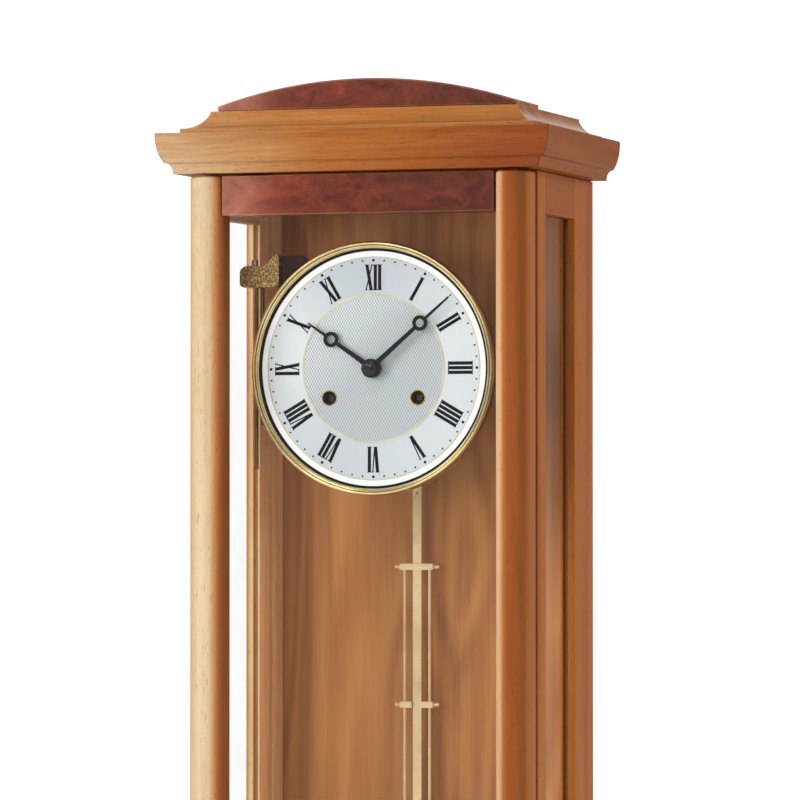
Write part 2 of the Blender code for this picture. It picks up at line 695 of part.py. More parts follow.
def crown_board(carrier):
    """The board that closes the top of the case and takes the upper door pin."""
    half = CROWN_HALF - CROWN_BACKING - SEAT_GAP
    front = -CROWN_FRONT + CROWN_BACKING + SEAT_GAP
    board = box((-half, half), (front, 0), (CROWN_BASE, CROWN_TOP))
    hole = pin_hole(CROWN_BASE - PIN_ENGAGEMENT, CROWN_BASE + PIN_ENGAGEMENT + SEAT_GAP)
    piece("crown_board", cut(board, hole), CHERRY, carrier)


def stepped(half, front, levels):
    """A slab flush with the wall whose front and sides step in by an inset at each level."""
    loops = []
    for inset, z in levels:
        x = half - inset
        y = -front + inset
        loops.append([(-x, y, z), (x, y, z), (x, 0, z), (-x, 0, z)])
    return bridged(loops)


def crown_cap(carrier):
    """The coved cap on the crown."""
    cove_base = CAP_BASE + CAP_FILLET
    cove_top = cove_base + CAP_COVE_RISE
    levels = [(0, CAP_BASE)]
    levels += arc((0, cove_base), (CAP_COVE_RUN, cove_top), 0, math.radians(60))
    levels += [(CAP_COVE_RUN, CAP_TOP)]
    piece("crown_cap", stepped(CAP_HALF, CAP_FRONT, levels), CHERRY_PALE, carrier, smooth=True)


def pediment(carrier):
    """The arched block on the cap and its burl face."""
    radius = (PEDIMENT_HALF**2 + PEDIMENT_RISE**2) / (2 * PEDIMENT_RISE)
    spring = math.asin(PEDIMENT_HALF / radius)
    crest = PEDIMENT_BASE + PEDIMENT_END + PEDIMENT_RISE
    outline = [(PEDIMENT_HALF, PEDIMENT_BASE), (-PEDIMENT_HALF, PEDIMENT_BASE)]
    steps = 4 * ARC_STEPS
    for step in range(steps + 1):
        angle = -spring + 2 * spring * step / steps
        outline.append((radius * math.sin(angle), crest - radius * (1 - math.cos(angle))))
    face_back = PEDIMENT_FRONT + PEDIMENT_FACE
    piece("pediment_face", prism(outline, "Y", PEDIMENT_FRONT, face_back), BURL, carrier, smooth=True)
    block = prism(outline, "Y", face_back + SEAT_GAP, PEDIMENT_FRONT + PEDIMENT_DEPTH)
    piece("pediment_block", block, CHERRY, carrier, smooth=True)


def base(carrier):
    """The base board under the case, and the coved plinth below it."""
    bottom = BASE_TOP - BASE_BOARD
    quarter = math.pi / 2
    levels = arc((BASE_ROUND, bottom), (0, bottom + BASE_ROUND), 0, quarter)
    levels += arc((0, BASE_TOP - BASE_ROUND), (BASE_ROUND, BASE_TOP), quarter, math.pi)
    board = stepped(CROWN_HALF, CROWN_FRONT, levels)
    hole = pin_hole(BASE_TOP - PIN_ENGAGEMENT - SEAT_GAP, BASE_TOP + PIN_ENGAGEMENT)
    piece("base_board", cut(board, hole), CHERRY_PALE, carrier, smooth=True)
    cove_top = PLINTH_TOP - PLINTH_EDGE
    cove_foot = cove_top - PLINTH_COVE_RISE
    foot_inset = PLINTH_INSET + PLINTH_COVE_RUN
    levels = [(PLINTH_INSET, PLINTH_TOP)]
    levels += arc((PLINTH_INSET, cove_top), (foot_inset, cove_foot), 0, math.radians(60))
    levels += [(foot_inset, cove_foot - PLINTH_EDGE)]
    piece("base_plinth", stepped(CROWN_HALF, CROWN_FRONT, levels), CHERRY_PALE, carrier, smooth=True)


# Door


def pillar_outline(side):
    """A door stile seen from above: half round in front, grooved for the glass on its inner side."""
    outer = side * HALF_DOOR
    inner = side * DOOR_INNER
    middle = side * (HALF_DOOR - PILLAR_RADIUS)
    deep = inner + side * GROOVE_DEPTH
    outline = [(outer, DOOR_BACK)]
    for step in range(PILLAR_STEPS + 1):
        angle = math.pi * step / PILLAR_STEPS
        across = side * PILLAR_RADIUS * math.cos(angle)
        outline.append((middle + across, PILLAR_CENTRE_Y - PILLAR_RADIUS * math.sin(angle)))
    outline += [(inner, DOOR_GLASS_Y - GROOVE_HALF), (deep, DOOR_GLASS_Y - GROOVE_HALF)]
    outline += [(deep, DOOR_GLASS_Y + GROOVE_HALF), (inner, DOOR_GLASS_Y + GROOVE_HALF)]
    return outline + [(inner, DOOR_BACK)]


def door_stiles(carrier):
    """The two pillars; the right one is bored for the pivot pins."""
    hinge = (HINGE_X, HINGE_Y, 0)
    left = prism(pillar_outline(-1), "Z", DOOR_BOTTOM, DOOR_TOP)
    piece("door_left_stile", left, CHERRY, carrier, hinge, smooth=True)
    right = prism(pillar_outline(1), "Z", DOOR_BOTTOM, DOOR_TOP)
    depth = PIN_ENGAGEMENT + SEAT_GAP
    upper = pin_hole(DOOR_TOP - depth, DOOR_TOP + depth)
    lower = pin_hole(DOOR_BOTTOM - depth, DOOR_BOTTOM + depth)
    piece("door_right_stile", cut(right, upper, lower), CHERRY, carrier, hinge, smooth=True)


def strike_plate_box(margin, proud):
    """The strike plate's place in the back of the door's top rail, grown by a margin."""
    half_width = MAGNET_WIDTH / 2 + margin
    half_height = STRIKE_PLATE_HEIGHT / 2 + margin
    middle = DOOR_TOP - DOOR_RAIL / 2
    x = (-MAGNET_OFFSET - half_width, -MAGNET_OFFSET + half_width)
    y = (DOOR_BACK - STRIKE_PLATE_THICKNESS - margin, DOOR_BACK + proud)
    return box(x, y, (middle - half_height, middle + half_height))


def door_rails(carrier):
    """The burl rails between the pillars, grooved for the glass; the upper one takes the strike plate."""
    hinge = (HINGE_X, HINGE_Y, 0)
    reach = DOOR_INNER - SEAT_GAP
    front = DOOR_BACK - DOOR_RAIL_THICKNESS
    groove = (DOOR_GLASS_Y - GROOVE_HALF, DOOR_GLASS_Y + GROOVE_HALF)
    for level, edge, away in (("top", DOOR_TOP, -1), ("bottom", DOOR_BOTTOM, 1)):
        free = edge + away * DOOR_RAIL
        floor = free - away * GROOVE_DEPTH
        section = [(front, edge), (front, free), (groove[0], free), (groove[0], floor), (groove[1], floor)]
        section += [(groove[1], free), (DOOR_BACK, free), (DOOR_BACK, edge)]
        rail = prism(section, "X", -reach, reach)
        if level == "top":
            rail = cut(rail, strike_plate_box(SEAT_GAP, STRIKE_PLATE_THICKNESS))
        piece(f"door_{level}_rail", rail, BURL, carrier, hinge)
    piece("door_strike_plate", strike_plate_box(0, 0), STEEL, carrier, hinge)


def door_glass(carrier):
    """The pane in the grooves of the door."""
    half = DOOR_INNER + GLASS_REACH
    y = (DOOR_GLASS_Y - GLASS_THICKNESS / 2, DOOR_GLASS_Y + GLASS_THICKNESS / 2)
    z = (DOOR_BOTTOM + DOOR_RAIL - GLASS_REACH, DOOR_TOP - DOOR_RAIL + GLASS_REACH)
    piece("door_glass", box((-half, half), y, z), CLEAR_GLASS, carrier, (HINGE_X, HINGE_Y, 0))


def door_fittings(carrier):
    """The fixed pivot pins and the magnet that holds the door shut."""
    place = (HINGE_X, HINGE_Y)
    top = cylinder("Z", place, PIN_RADIUS, DOOR_TOP - PIN_ENGAGEMENT, CROWN_BASE + PIN_ENGAGEMENT)
    piece("door_top_pivot_pin", top, BRASS, carrier, smooth=True)
    bottom = cylinder("Z", place, PIN_RADIUS, BASE_TOP - PIN_ENGAGEMENT, DOOR_BOTTOM + PIN_ENGAGEMENT)
    piece("door_bottom_pivot_pin", bottom, BRASS, carrier, smooth=True)
    x = (-MAGNET_OFFSET - MAGNET_WIDTH / 2, -MAGNET_OFFSET + MAGNET_WIDTH / 2)
    y = (DOOR_BACK + MAGNET_GAP, DOOR_BACK + MAGNET_GAP + MAGNET_DEPTH)
    piece("door_magnet", box(x, y, (CASE_TOP - MAGNET_HEIGHT, CASE_TOP)), DARK_STEEL, carrier)


# Dial and hands


def dial_plate(carrier):
    """The dial, pierced for the hands and for the two winding squares."""
    plate = cylinder("Y", CENTRE, DIAL_RADIUS, DIAL_FACE, DIAL_BACK, ROUND_STEPS)
    reach = (DIAL_FACE - DIAL_THICKNESS, DIAL_BACK + DIAL_THICKNESS)
    holes = [cylinder("Y", CENTRE, DIAL_CENTRE_HOLE, *reach, PIPE_STEPS)]
    for place in (TIME_BARREL, STRIKE_BARREL):
        holes.append(cylinder("Y", place, WINDING_HOLE, *reach, PIPE_STEPS))
    piece("dial_plate", cut(plate, together(holes)), DIAL_WHITE, carrier, smooth=True)


def bezel(carrier):
    """The gilt ring: an inner bead, a groove, an outer round, and a skirt over the edge of the pan."""
    lip = DIAL_RADIUS - BEZEL_LIP
    bead = lip + BEZEL_BEAD
    inner = DIAL_RADIUS + SEAT_GAP
    outer = inner + BEZEL_WALL
    seat = DIAL_FACE - SEAT_GAP
    crest = DIAL_FACE - BEZEL_RISE
    bead_crest = crest + BEZEL_GROOVE
    crown = (bead + outer) / 2
    quarter = math.pi / 2
    profile = [(lip, seat)]
    profile += arc((lip, seat - BEZEL_GROOVE), (bead, bead_crest), quarter, math.pi, BEAD_STEPS)
    profile += arc((bead, bead_crest + BEZEL_GROOVE), (crown, crest), quarter, math.pi, BEAD_STEPS)
    profile += arc((crown, crest), (outer, crest + BEZEL_BEAD), 0, quarter, BEAD_STEPS)[1:]
    profile += [(outer, DIAL_FACE + BEZEL_SKIRT), (inner, DIAL_FACE + BEZEL_SKIRT), (inner, seat)]
    piece("bezel", turned(profile, "Y", CENTRE, ROUND_STEPS), GILT, carrier, smooth=True)


def dial_pan(carrier):
    """The shallow pan behind the dial, with four feet to the front plate."""
    inner = PAN_RADIUS - PAN_FLANGE
    wall = PAN_RADIUS - PAN_WALL
    floor = PAN_BACK - PAN_WALL
    profile = [(PAN_RADIUS, PAN_FRONT), (PAN_RADIUS, PAN_BACK), (inner, PAN_BACK), (inner, floor)]
    profile += [(wall, floor), (wall, PAN_FRONT)]
    feet = []
    for x in (-PAN_FOOT_SPREAD, PAN_FOOT_SPREAD):
        for z in (-PAN_FOOT_SPREAD, PAN_FOOT_SPREAD):
            reach = (PAN_BACK - PAN_WALL / 2, FRONT_PLATE_FRONT - SEAT_GAP)
            feet.append(cylinder("Y", (x, z), PAN_FOOT_RADIUS, *reach))
    pan = union(turned(profile, "Y", CENTRE, ROUND_STEPS), together(feet))
    piece("dial_pan", pan, DARK_STEEL, carrier, smooth=True)


def hand(name, length, ring_at, bore, back, angle, carrier):
    """A tapered hand with a pierced ring before its point; angle is clockwise from twelve."""
    front = back - HAND_THICKNESS

    def turn(p, q):
        return (
            p * math.cos(angle) + q * math.sin(angle),
            -p * math.sin(angle) + q * math.cos(angle),
        )

    def ring(at, inner, outer, steps):
        low = front - HAND_BOSS_EXTRA
        high = back + HAND_BOSS_EXTRA
        return turned([(inner, low), (outer, low), (outer, high), (inner, high)], "Y", turn(0, at), steps)

    reach = (HAND_RING_RADIUS + HAND_RING_HOLE) / 2
    near = ring_at - reach
    far = ring_at + reach
    foot = (bore + HAND_BOSS) / 2
    stem = [(-HAND_STEM_ROOT, foot), (HAND_STEM_ROOT, foot), (HAND_STEM_NECK, near), (-HAND_STEM_NECK, near)]
    tip = [(-HAND_POINT_ROOT, far), (HAND_POINT_ROOT, far)]
    tip += [(HAND_POINT_TIP, length), (-HAND_POINT_TIP, length)]
    boss = ring(0, bore, HAND_BOSS, 2 * ARBOR_STEPS)
    eye = ring(ring_at, HAND_RING_HOLE, HAND_RING_RADIUS, 2 * ARBOR_STEPS)
    blades = [prism([turn(*at) for at in outline], "Y", front, back) for outline in (stem, tip)]
    shape = union(boss, together(blades), eye)
    piece(name, shape, HAND_BLACK, carrier, (0, back, 0), smooth=True)


def hands(carrier):
    """The hour and minute hands, and the nut on the end of the cannon pipe."""
    hour_bore = HOUR_PIPE_RADIUS + SEAT_GAP
    minute_bore = CANNON_RADIUS + SEAT_GAP
    reach = (HOUR_HAND_LENGTH, HOUR_RING_AT)
    hand("hour_hand", *reach, hour_bore, HOUR_HAND_Y, HOUR_ANGLE, carrier)
    reach = (MINUTE_HAND_LENGTH, MINUTE_RING_AT)
    hand("minute_hand", *reach, minute_bore, MINUTE_HAND_Y, MINUTE_ANGLE, carrier)
    rounded = HAND_NUT_HEIGHT / 2
    front = HAND_NUT_Y - HAND_NUT_HEIGHT
    floor = CANNON_END - SEAT_GAP
    profile = [(0, front), (HAND_NUT_RADIUS - rounded, front), (HAND_NUT_RADIUS, front + rounded)]
    profile += [(HAND_NUT_RADIUS, HAND_NUT_Y), (minute_bore, HAND_NUT_Y), (minute_bore, floor), (0, floor)]
    nut = turned(profile, "Y", CENTRE, PIPE_STEPS)
    piece("hand_nut", nut, HAND_BLACK, carrier, (0, HAND_NUT_Y, 0), smooth=True)


# Movement


def toothed(teeth, pitch_radius, centre, toward, low, high, gap=False):
    """A gear with a tooth, or a gap, on the line toward the next wheel's centre."""
    module = 2 * pitch_radius / teeth
    tip = pitch_radius + TOOTH_ADDENDUM * module
    root = pitch_radius - TOOTH_DEDENDUM * module
    pitch = math.tau / teeth
    line = toward - centre
    first = math.atan2(line.y, line.x) + (pitch / 2 if gap else 0)
    flank = [(root, -TOOTH_ROOT_SHARE), (tip, -TOOTH_TIP_SHARE)]
    corners = flank + [(radius, -share) for radius, share in reversed(flank)]
    outline = []
    for tooth in range(teeth):
        middle = first + tooth * pitch
        for radius, share in corners:
            angle = middle + share * pitch
            outline.append((centre.x + radius * math.cos(angle), centre.y + radius * math.sin(angle)))
    return prism(outline, "Y", low, high)


def saw(teeth, radius, depth, centre, low, high):
    """A wheel with pointed teeth that lean forward."""
    pitch = math.tau / teeth
    outline = []
    for tooth in range(teeth):
        angle = tooth * pitch
        for reach, share in ((radius - depth, 0), (radius, SAW_LEAN), (radius - depth, 2 * SAW_LEAN)):
            at = angle + share * pitch
            outline.append((centre.x + reach * math.cos(at), centre.y + reach * math.sin(at)))
    return prism(outline, "Y", low, high)


def arbor(centre, front, back, radius=ARBOR_RADIUS):
    """A round arbor with a thinner pivot at each end, running in both plates."""
    shoulders = (FRONT_PLATE_BACK + PIVOT_GAP, BACK_PLATE_FRONT - PIVOT_GAP)
    profile = [(0, front), (PIVOT_RADIUS, front), (PIVOT_RADIUS, shoulders[0]), (radius, shoulders[0])]
    profile += [(radius, shoulders[1]), (PIVOT_RADIUS, shoulders[1]), (PIVOT_RADIUS, back), (0, back)]
    return turned(profile, "Y", centre, ARBOR_STEPS)


def pivot_holes(places, low, high):
    """Cutters for holes given as (centre, radius of what runs in them)."""
    return together([cylinder("Y", at, radius + PIVOT_GAP, low, high) for at, radius in places])


def plates(carrier):
    """The two plates; the back one has cut corners and carries the pillars and the suspension cock."""
    half = PLATE_WIDTH / 2
    shared = [(TIME_BARREL, WINDING_ARBOR_RADIUS), (STRIKE_BARREL, WINDING_ARBOR_RADIUS)]
    shared += [(at, PIVOT_RADIUS) for at in (THIRD, ESCAPE, STRIKE_WHEEL, HAMMER)]
    front_holes = shared + [(ANCHOR, PIVOT_RADIUS), (CENTRE, CENTRE_TIP_RADIUS), (MINUTE_POST, PIVOT_RADIUS)]
    back_holes = shared + [(ANCHOR, ARBOR_RADIUS), (CENTRE, PIVOT_RADIUS)]
    z = (-PLATE_BELOW, PLATE_ABOVE)
    front = box((-half, half), (FRONT_PLATE_FRONT, FRONT_PLATE_BACK), z)
    reach = (FRONT_PLATE_FRONT - PLATE_THICKNESS, FRONT_PLATE_BACK + PLATE_THICKNESS)
    piece("front_plate", cut(front, pivot_holes(front_holes, *reach)), BRASS, carrier)

    flank = half - BACK_CORNER_WIDTH
    right = [(flank, z[0]), (half, z[0] + BACK_CORNER_HEIGHT)]
    right += [(half, z[1] - BACK_CORNER_HEIGHT), (flank, z[1])]
    outline = right + [(-x, height) for x, height in reversed(right)]
    back = prism(outline, "Y", BACK_PLATE_FRONT, BACK_PLATE_BACK)
    posts = []
    post_reach = (FRONT_PLATE_BACK + SEAT_GAP, BACK_PLATE_FRONT + PLATE_THICKNESS / 2)
    for x, height in ((LOWER_POST_X, z[0] + PILLAR_POST_INSET), (UPPER_POST_X, z[1] - PILLAR_POST_INSET)):
        posts.append(cylinder("Y", (-x, height), PILLAR_POST_RADIUS, *post_reach))
        posts.append(cylinder("Y", (x, height), PILLAR_POST_RADIUS, *post_reach))
    cock = box(
        (-COCK_WIDTH / 2, COCK_WIDTH / 2),
        (BACK_PLATE_BACK - PLATE_THICKNESS / 2, PENDULUM_Y + COCK_OVERHANG),
        (COCK_BASE, COCK_BASE + COCK_HEIGHT),
    )
    reach = (BACK_PLATE_FRONT - PLATE_THICKNESS, BACK_PLATE_BACK + PLATE_THICKNESS)
    framed = union(back, together(posts), cock)
    piece("back_plate", cut(framed, pivot_holes(back_holes, *reach)), BRASS, carrier)


def barrel(name, centre, toward, gear_level, drum, carrier):
    """A spring barrel: a toothed rim and a drum, bored for the winding arbor."""
    share = BARREL_TEETH / (BARREL_TEETH + CENTRE_PINION_TEETH)
    gear_reach = (gear_level, gear_level + BARREL_GEAR_WIDTH)
    gear = toothed(BARREL_TEETH, BARREL_DISTANCE * share, centre, toward, *gear_reach, gap=True)
    body = union(gear, cylinder("Y", centre, BARREL_DRUM_RADIUS, *drum, ROUND_STEPS // 2))
    bore = cylinder("Y", centre, WINDING_ARBOR_RADIUS + PIVOT_GAP, FRONT_PLATE_BACK, BACK_PLATE_FRONT)
    piece(name, cut(body, bore), BRASS, carrier, along_y(centre, gear_level), smooth=True)


def barrels(carrier):
    """The time barrel with its teeth in front, and the strike barrel with its teeth behind."""
    middle = TIME_GEAR_LEVEL + BARREL_GEAR_WIDTH / 2
    drum = (middle, middle + BARREL_DRUM_LENGTH)
    barrel("time_barrel", TIME_BARREL, CENTRE, TIME_GEAR_LEVEL, drum, carrier)
    middle = STRIKE_GEAR_LEVEL + BARREL_GEAR_WIDTH / 2
    drum = (middle - BARREL_DRUM_LENGTH, middle)
    barrel("strike_barrel", STRIKE_BARREL, STRIKE_WHEEL, STRIKE_GEAR_LEVEL, drum, carrier)


def winding_arbors(carrier):
    """The two arbors that wind the springs, squared at the front for the key."""
    for name, centre in (("time_winding_arbor", TIME_BARREL), ("strike_winding_arbor", STRIKE_BARREL)):
        shoulder = FRONT_PLATE_FRONT - PLATE_THICKNESS
        bar = cylinder("Y", centre, WINDING_ARBOR_RADIUS, shoulder, BACK_PLATE_BACK, PIPE_STEPS)
        x = (centre.x - WINDING_SQUARE, centre.x + WINDING_SQUARE)
        z = (centre.y - WINDING_SQUARE, centre.y + WINDING_SQUARE)
        square = box(x, (DIAL_BACK + WINDING_SQUARE_SETBACK, shoulder + PLATE_THICKNESS), z)
        piece(name, union(bar, square), STEEL, carrier, along_y(centre, shoulder), smooth=True)


def train_wheel(name, centre, shapes, carrier, front=None):
    """A wheel and pinion on their arbor."""
    pivot_front = FRONT_PLATE_FRONT + PIVOT_GAP if front is None else front
    bar = arbor(centre, pivot_front, BACK_PLATE_BACK - PIVOT_GAP)
    piece(name, union(bar, *shapes), BRASS, carrier, along_y(centre, FRONT_PLATE_BACK), smooth=True)


def going_train(carrier):
    """The centre, third and escape wheels."""
    share = CENTRE_PINION_TEETH / (BARREL_TEETH + CENTRE_PINION_TEETH)
    low = TIME_GEAR_LEVEL - (PINION_WIDTH - BARREL_GEAR_WIDTH) / 2
    radius = BARREL_DISTANCE * share
    pinion = toothed(CENTRE_PINION_TEETH, radius, CENTRE, TIME_BARREL, low, low + PINION_WIDTH)
    radius = THIRD_DISTANCE * CENTRE_TEETH / (CENTRE_TEETH + THIRD_PINION_TEETH)
    wheel = toothed(CENTRE_TEETH, radius, CENTRE, THIRD, CENTRE_LEVEL, CENTRE_LEVEL + WHEEL_WIDTH, gap=True)
    tip = cylinder("Y", CENTRE, CENTRE_TIP_RADIUS, CANNON_END + PIPE_WALL, TIME_GEAR_LEVEL)
    train_wheel("centre_wheel", CENTRE, [pinion, wheel, tip], carrier)

    low = CENTRE_LEVEL - THIN_PINION_MARGIN
    high = CENTRE_LEVEL + WHEEL_WIDTH + THIN_PINION_MARGIN
    pinion = toothed(THIRD_PINION_TEETH, THIRD_DISTANCE - radius, THIRD, CENTRE, low, high)
    radius = ESCAPE_DISTANCE * THIRD_TEETH / (THIRD_TEETH + ESCAPE_PINION_TEETH)
    wheel = toothed(THIRD_TEETH, radius, THIRD, ESCAPE, THIRD_LEVEL, THIRD_LEVEL + WHEEL_WIDTH, gap=True)
    train_wheel("third_wheel", THIRD, [pinion, wheel], carrier)

    low = THIRD_LEVEL - THIN_PINION_MARGIN
    high = THIRD_LEVEL + WHEEL_WIDTH + THIN_PINION_MARGIN
    pinion = toothed(ESCAPE_PINION_TEETH, ESCAPE_DISTANCE - radius, ESCAPE, THIRD, low, high)
    wheel = saw(ESCAPE_TEETH, ESCAPE_RADIUS, ESCAPE_TOOTH, ESCAPE, ESCAPE_LEVEL, ESCAPE_LEVEL + WHEEL_WIDTH)
    train_wheel("escape_wheel", ESCAPE, [pinion, wheel], carrier)


def anchor(carrier):
    """The anchor over the escape wheel, with the crutch and its fork behind the back plate."""
    reach = ESCAPE_RADIUS + PALLET_GAP
    tip_x = reach * math.sin(PALLET_ANGLE)
    tip_z = ESCAPE.y + reach * math.cos(PALLET_ANGLE)
    top = ANCHOR.y + ANCHOR_HUB
    right = [(ANCHOR_HUB, top - ANCHOR_ARM / 4), (tip_x + ANCHOR_ARM / 2, tip_z + ANCHOR_ARM)]
    right += [(tip_x + ANCHOR_ARM, tip_z), (tip_x, tip_z), (tip_x - ANCHOR_ARM / 4, tip_z + ANCHOR_ARM / 2)]
    right += [(ANCHOR_HUB / 2, ANCHOR.y - ANCHOR_HUB / 2)]
    outline = [(0, top)] + right + [(-x, z) for x, z in reversed(right)]
    middle = ESCAPE_LEVEL + WHEEL_WIDTH / 2
    arms = prism(outline, "Y", middle - ANCHOR_WIDTH / 2, middle + ANCHOR_WIDTH / 2)

    crutch_front = BACK_PLATE_BACK + CRUTCH_BEHIND_PLATE
    crutch_back = crutch_front + CRUTCH_THICKNESS
    front = FRONT_PLATE_FRONT + PIVOT_GAP
    shoulder = FRONT_PLATE_BACK + PIVOT_GAP
    end = crutch_back + CRUTCH_THICKNESS
    profile = [(0, front), (PIVOT_RADIUS, front), (PIVOT_RADIUS, shoulder), (ARBOR_RADIUS, shoulder)]
    profile += [(ARBOR_RADIUS, end), (0, end)]
    bar = turned(profile, "Y", ANCHOR, ARBOR_STEPS)

    half = CRUTCH_WIDTH / 2
    foot = ANCHOR.y - CRUTCH_LENGTH
    blade = box((-half, half), (crutch_front, crutch_back), (foot, ANCHOR.y + half))
    slot_half = STRIP_WIDTH / 2 + PIVOT_GAP
    mouth = PENDULUM_Y - STRIP_THICKNESS
    fork = box(
        (-FORK_WIDTH / 2, FORK_WIDTH / 2),
        (crutch_front - CRUTCH_THICKNESS / 2, PENDULUM_Y + 2 * STRIP_THICKNESS),
        (foot - FORK_HEIGHT / 2, foot + FORK_HEIGHT / 2),
    )
    slot = box(
        (-slot_half, slot_half),
        (mouth, PENDULUM_Y + 3 * STRIP_THICKNESS),
        (foot - FORK_HEIGHT, foot + FORK_HEIGHT),
    )
    shape = union(bar, arms, blade, cut(fork, slot))
    piece("anchor", shape, STEEL, carrier, along_y(ANCHOR, PENDULUM_Y), smooth=True)


def motion_work(carrier):
    """The cannon pinion, the minute wheel with its pinion, and the hour wheel with its pipe."""
    total = CANNON_TEETH + MINUTE_WHEEL_TEETH
    radius = MOTION_DISTANCE * CANNON_TEETH / total
    gear = toothed(CANNON_TEETH, radius, CENTRE, MINUTE_POST, MOTION_LEVEL, MOTION_LEVEL + 2 * WHEEL_WIDTH)
    pipe = cylinder("Y", CENTRE, CANNON_RADIUS, CANNON_END, FRONT_PLATE_FRONT - SEAT_GAP, PIPE_STEPS)
    bore = cylinder("Y", CENTRE, CANNON_BORE, CANNON_END - PIPE_WALL, FRONT_PLATE_FRONT + PIPE_WALL)
    shape = cut(union(pipe, gear), bore)
    piece("cannon_pinion", shape, STEEL, carrier, (0, MOTION_LEVEL, 0), smooth=True)

    low = MOTION_LEVEL + WHEEL_WIDTH / 2
    wheel_radius = MOTION_DISTANCE - radius
    wheel = toothed(MINUTE_WHEEL_TEETH, wheel_radius, MINUTE_POST, CENTRE, low, low + WHEEL_WIDTH, gap=True)
    total = MINUTE_PINION_TEETH + HOUR_TEETH
    radius = MOTION_DISTANCE * MINUTE_PINION_TEETH / total
    pinion = toothed(MINUTE_PINION_TEETH, radius, MINUTE_POST, CENTRE, HOUR_LEVEL, low + WHEEL_WIDTH / 2)
    shoulder = FRONT_PLATE_FRONT - PIVOT_GAP
    front = HOUR_LEVEL - WHEEL_WIDTH
    profile = [(0, front), (ARBOR_RADIUS, front), (ARBOR_RADIUS, shoulder), (PIVOT_RADIUS, shoulder)]
    profile += [(PIVOT_RADIUS, FRONT_PLATE_BACK - PIVOT_GAP), (0, FRONT_PLATE_BACK - PIVOT_GAP)]
    bar = turned(profile, "Y", MINUTE_POST, ARBOR_STEPS)
    shape = union(bar, wheel, pinion)
    piece("minute_wheel", shape, BRASS, carrier, along_y(MINUTE_POST, MOTION_LEVEL), smooth=True)

    low = HOUR_LEVEL + SEAT_GAP
    wheel_radius = MOTION_DISTANCE - radius
    wheel = toothed(HOUR_TEETH, wheel_radius, CENTRE, MINUTE_POST, low, low + WHEEL_WIDTH, gap=True)
    end = HOUR_HAND_Y - HAND_THICKNESS
    pipe = cylinder("Y", CENTRE, HOUR_PIPE_RADIUS, end, low + WHEEL_WIDTH / 2, PIPE_STEPS)
    bore = cylinder("Y", CENTRE, HOUR_PIPE_BORE, end - PIPE_WALL, low + 2 * WHEEL_WIDTH, PIPE_STEPS)
    piece("hour_wheel", cut(union(pipe, wheel), bore), BRASS, carrier, (0, HOUR_LEVEL, 0), smooth=True)


def strike_train(carrier):
    """The wheel that lifts the hammer, and the hammer that falls against the gong."""
    share = CENTRE_PINION_TEETH / (BARREL_TEETH + CENTRE_PINION_TEETH)
    low = STRIKE_GEAR_LEVEL - (PINION_WIDTH - BARREL_GEAR_WIDTH) / 2
    radius = BARREL_DISTANCE * share
    pinion = toothed(STRIKE_PINION_TEETH, radius, STRIKE_WHEEL, STRIKE_BARREL, low, low + PINION_WIDTH)
    disc_reach = (STRIKE_DISC_LEVEL, STRIKE_DISC_LEVEL + WHEEL_WIDTH)
    disc = saw(STRIKE_TEETH, STRIKE_WHEEL_RADIUS, ESCAPE_TOOTH, STRIKE_WHEEL, *disc_reach)
    train_wheel("strike_wheel", STRIKE_WHEEL, [pinion, disc], carrier)

    head = Vector((HAMMER_HEAD_LEFT + HAMMER_HEAD_LENGTH / 2, HAMMER_HEAD_Z))
    arm_reach = (HAMMER_LEVEL, HAMMER_LEVEL + HAMMER_ARM)
    arm = prism(bar_outline(HAMMER, head, HAMMER_ARM), "Y", *arm_reach)
    line = STRIKE_WHEEL - HAMMER
    tail_end = HAMMER + line * (1 - (STRIKE_WHEEL_RADIUS + PALLET_GAP + HAMMER_ARM / 2) / line.length)
    tail_outline = bar_outline(HAMMER, tail_end, HAMMER_ARM)
    tail = prism(tail_outline, "Y", HAMMER_LEVEL + HAMMER_ARM / 2, disc_reach[1])
    mallet = cylinder(
        "X",
        (HAMMER_LEVEL, HAMMER_HEAD_Z),
        HAMMER_HEAD_RADIUS,
        HAMMER_HEAD_LEFT,
        HAMMER_HEAD_LEFT + HAMMER_HEAD_LENGTH,
        PIPE_STEPS,
    )
    bar = arbor(HAMMER, FRONT_PLATE_FRONT + PIVOT_GAP, BACK_PLATE_BACK - PIVOT_GAP)
    shape = union(bar, arm, tail, mallet)
    piece("hammer", shape, STEEL, carrier, along_y(HAMMER, HAMMER_LEVEL), smooth=True)


def bar_outline(start, end, width):
    """A straight bar between two places, running a little past both."""
    line = (end - start).normalized()
    aside = Vector((-line.y, line.x)) * width / 2
    beyond = line * width / 2
    return [start - beyond - aside, start - beyond + aside, end + beyond + aside, end + beyond - aside]


def movement_bracket(carrier):
    """The angle bracket on the back panel that carries the movement, slotted for the pendulum."""
    half = BRACKET_WIDTH / 2
    wall_half = BRACKET_WALL_WIDTH / 2
    top = -PLATE_BELOW - SEAT_GAP
    back = -BACK_THICKNESS - SEAT_GAP
    right = [(half, FRONT_PLATE_FRONT), (half, BACK_PLATE_BACK), (wall_half, back)]
    outline = right + [(-x, y) for x, y in reversed(right)]
    shelf = prism(outline, "Z", top - BRACKET_THICKNESS, top)
    flange = box(
        (-wall_half + SEAT_GAP, wall_half - SEAT_GAP),
        (back - BRACKET_THICKNESS, back - SEAT_GAP),
        (top - BRACKET_THICKNESS / 2, top + BRACKET_FLANGE),
    )
    slot_half = BRACKET_SLOT_WIDTH / 2
    slot = box(
        (-slot_half, slot_half),
        (PENDULUM_Y - BRACKET_SLOT_DEPTH / 2, PENDULUM_Y + BRACKET_SLOT_DEPTH / 2),
        (top - 2 * BRACKET_THICKNESS, top + BRACKET_THICKNESS),
    )
    piece("movement_bracket", cut(union(shelf, flange), slot), DARK_STEEL, carrier)


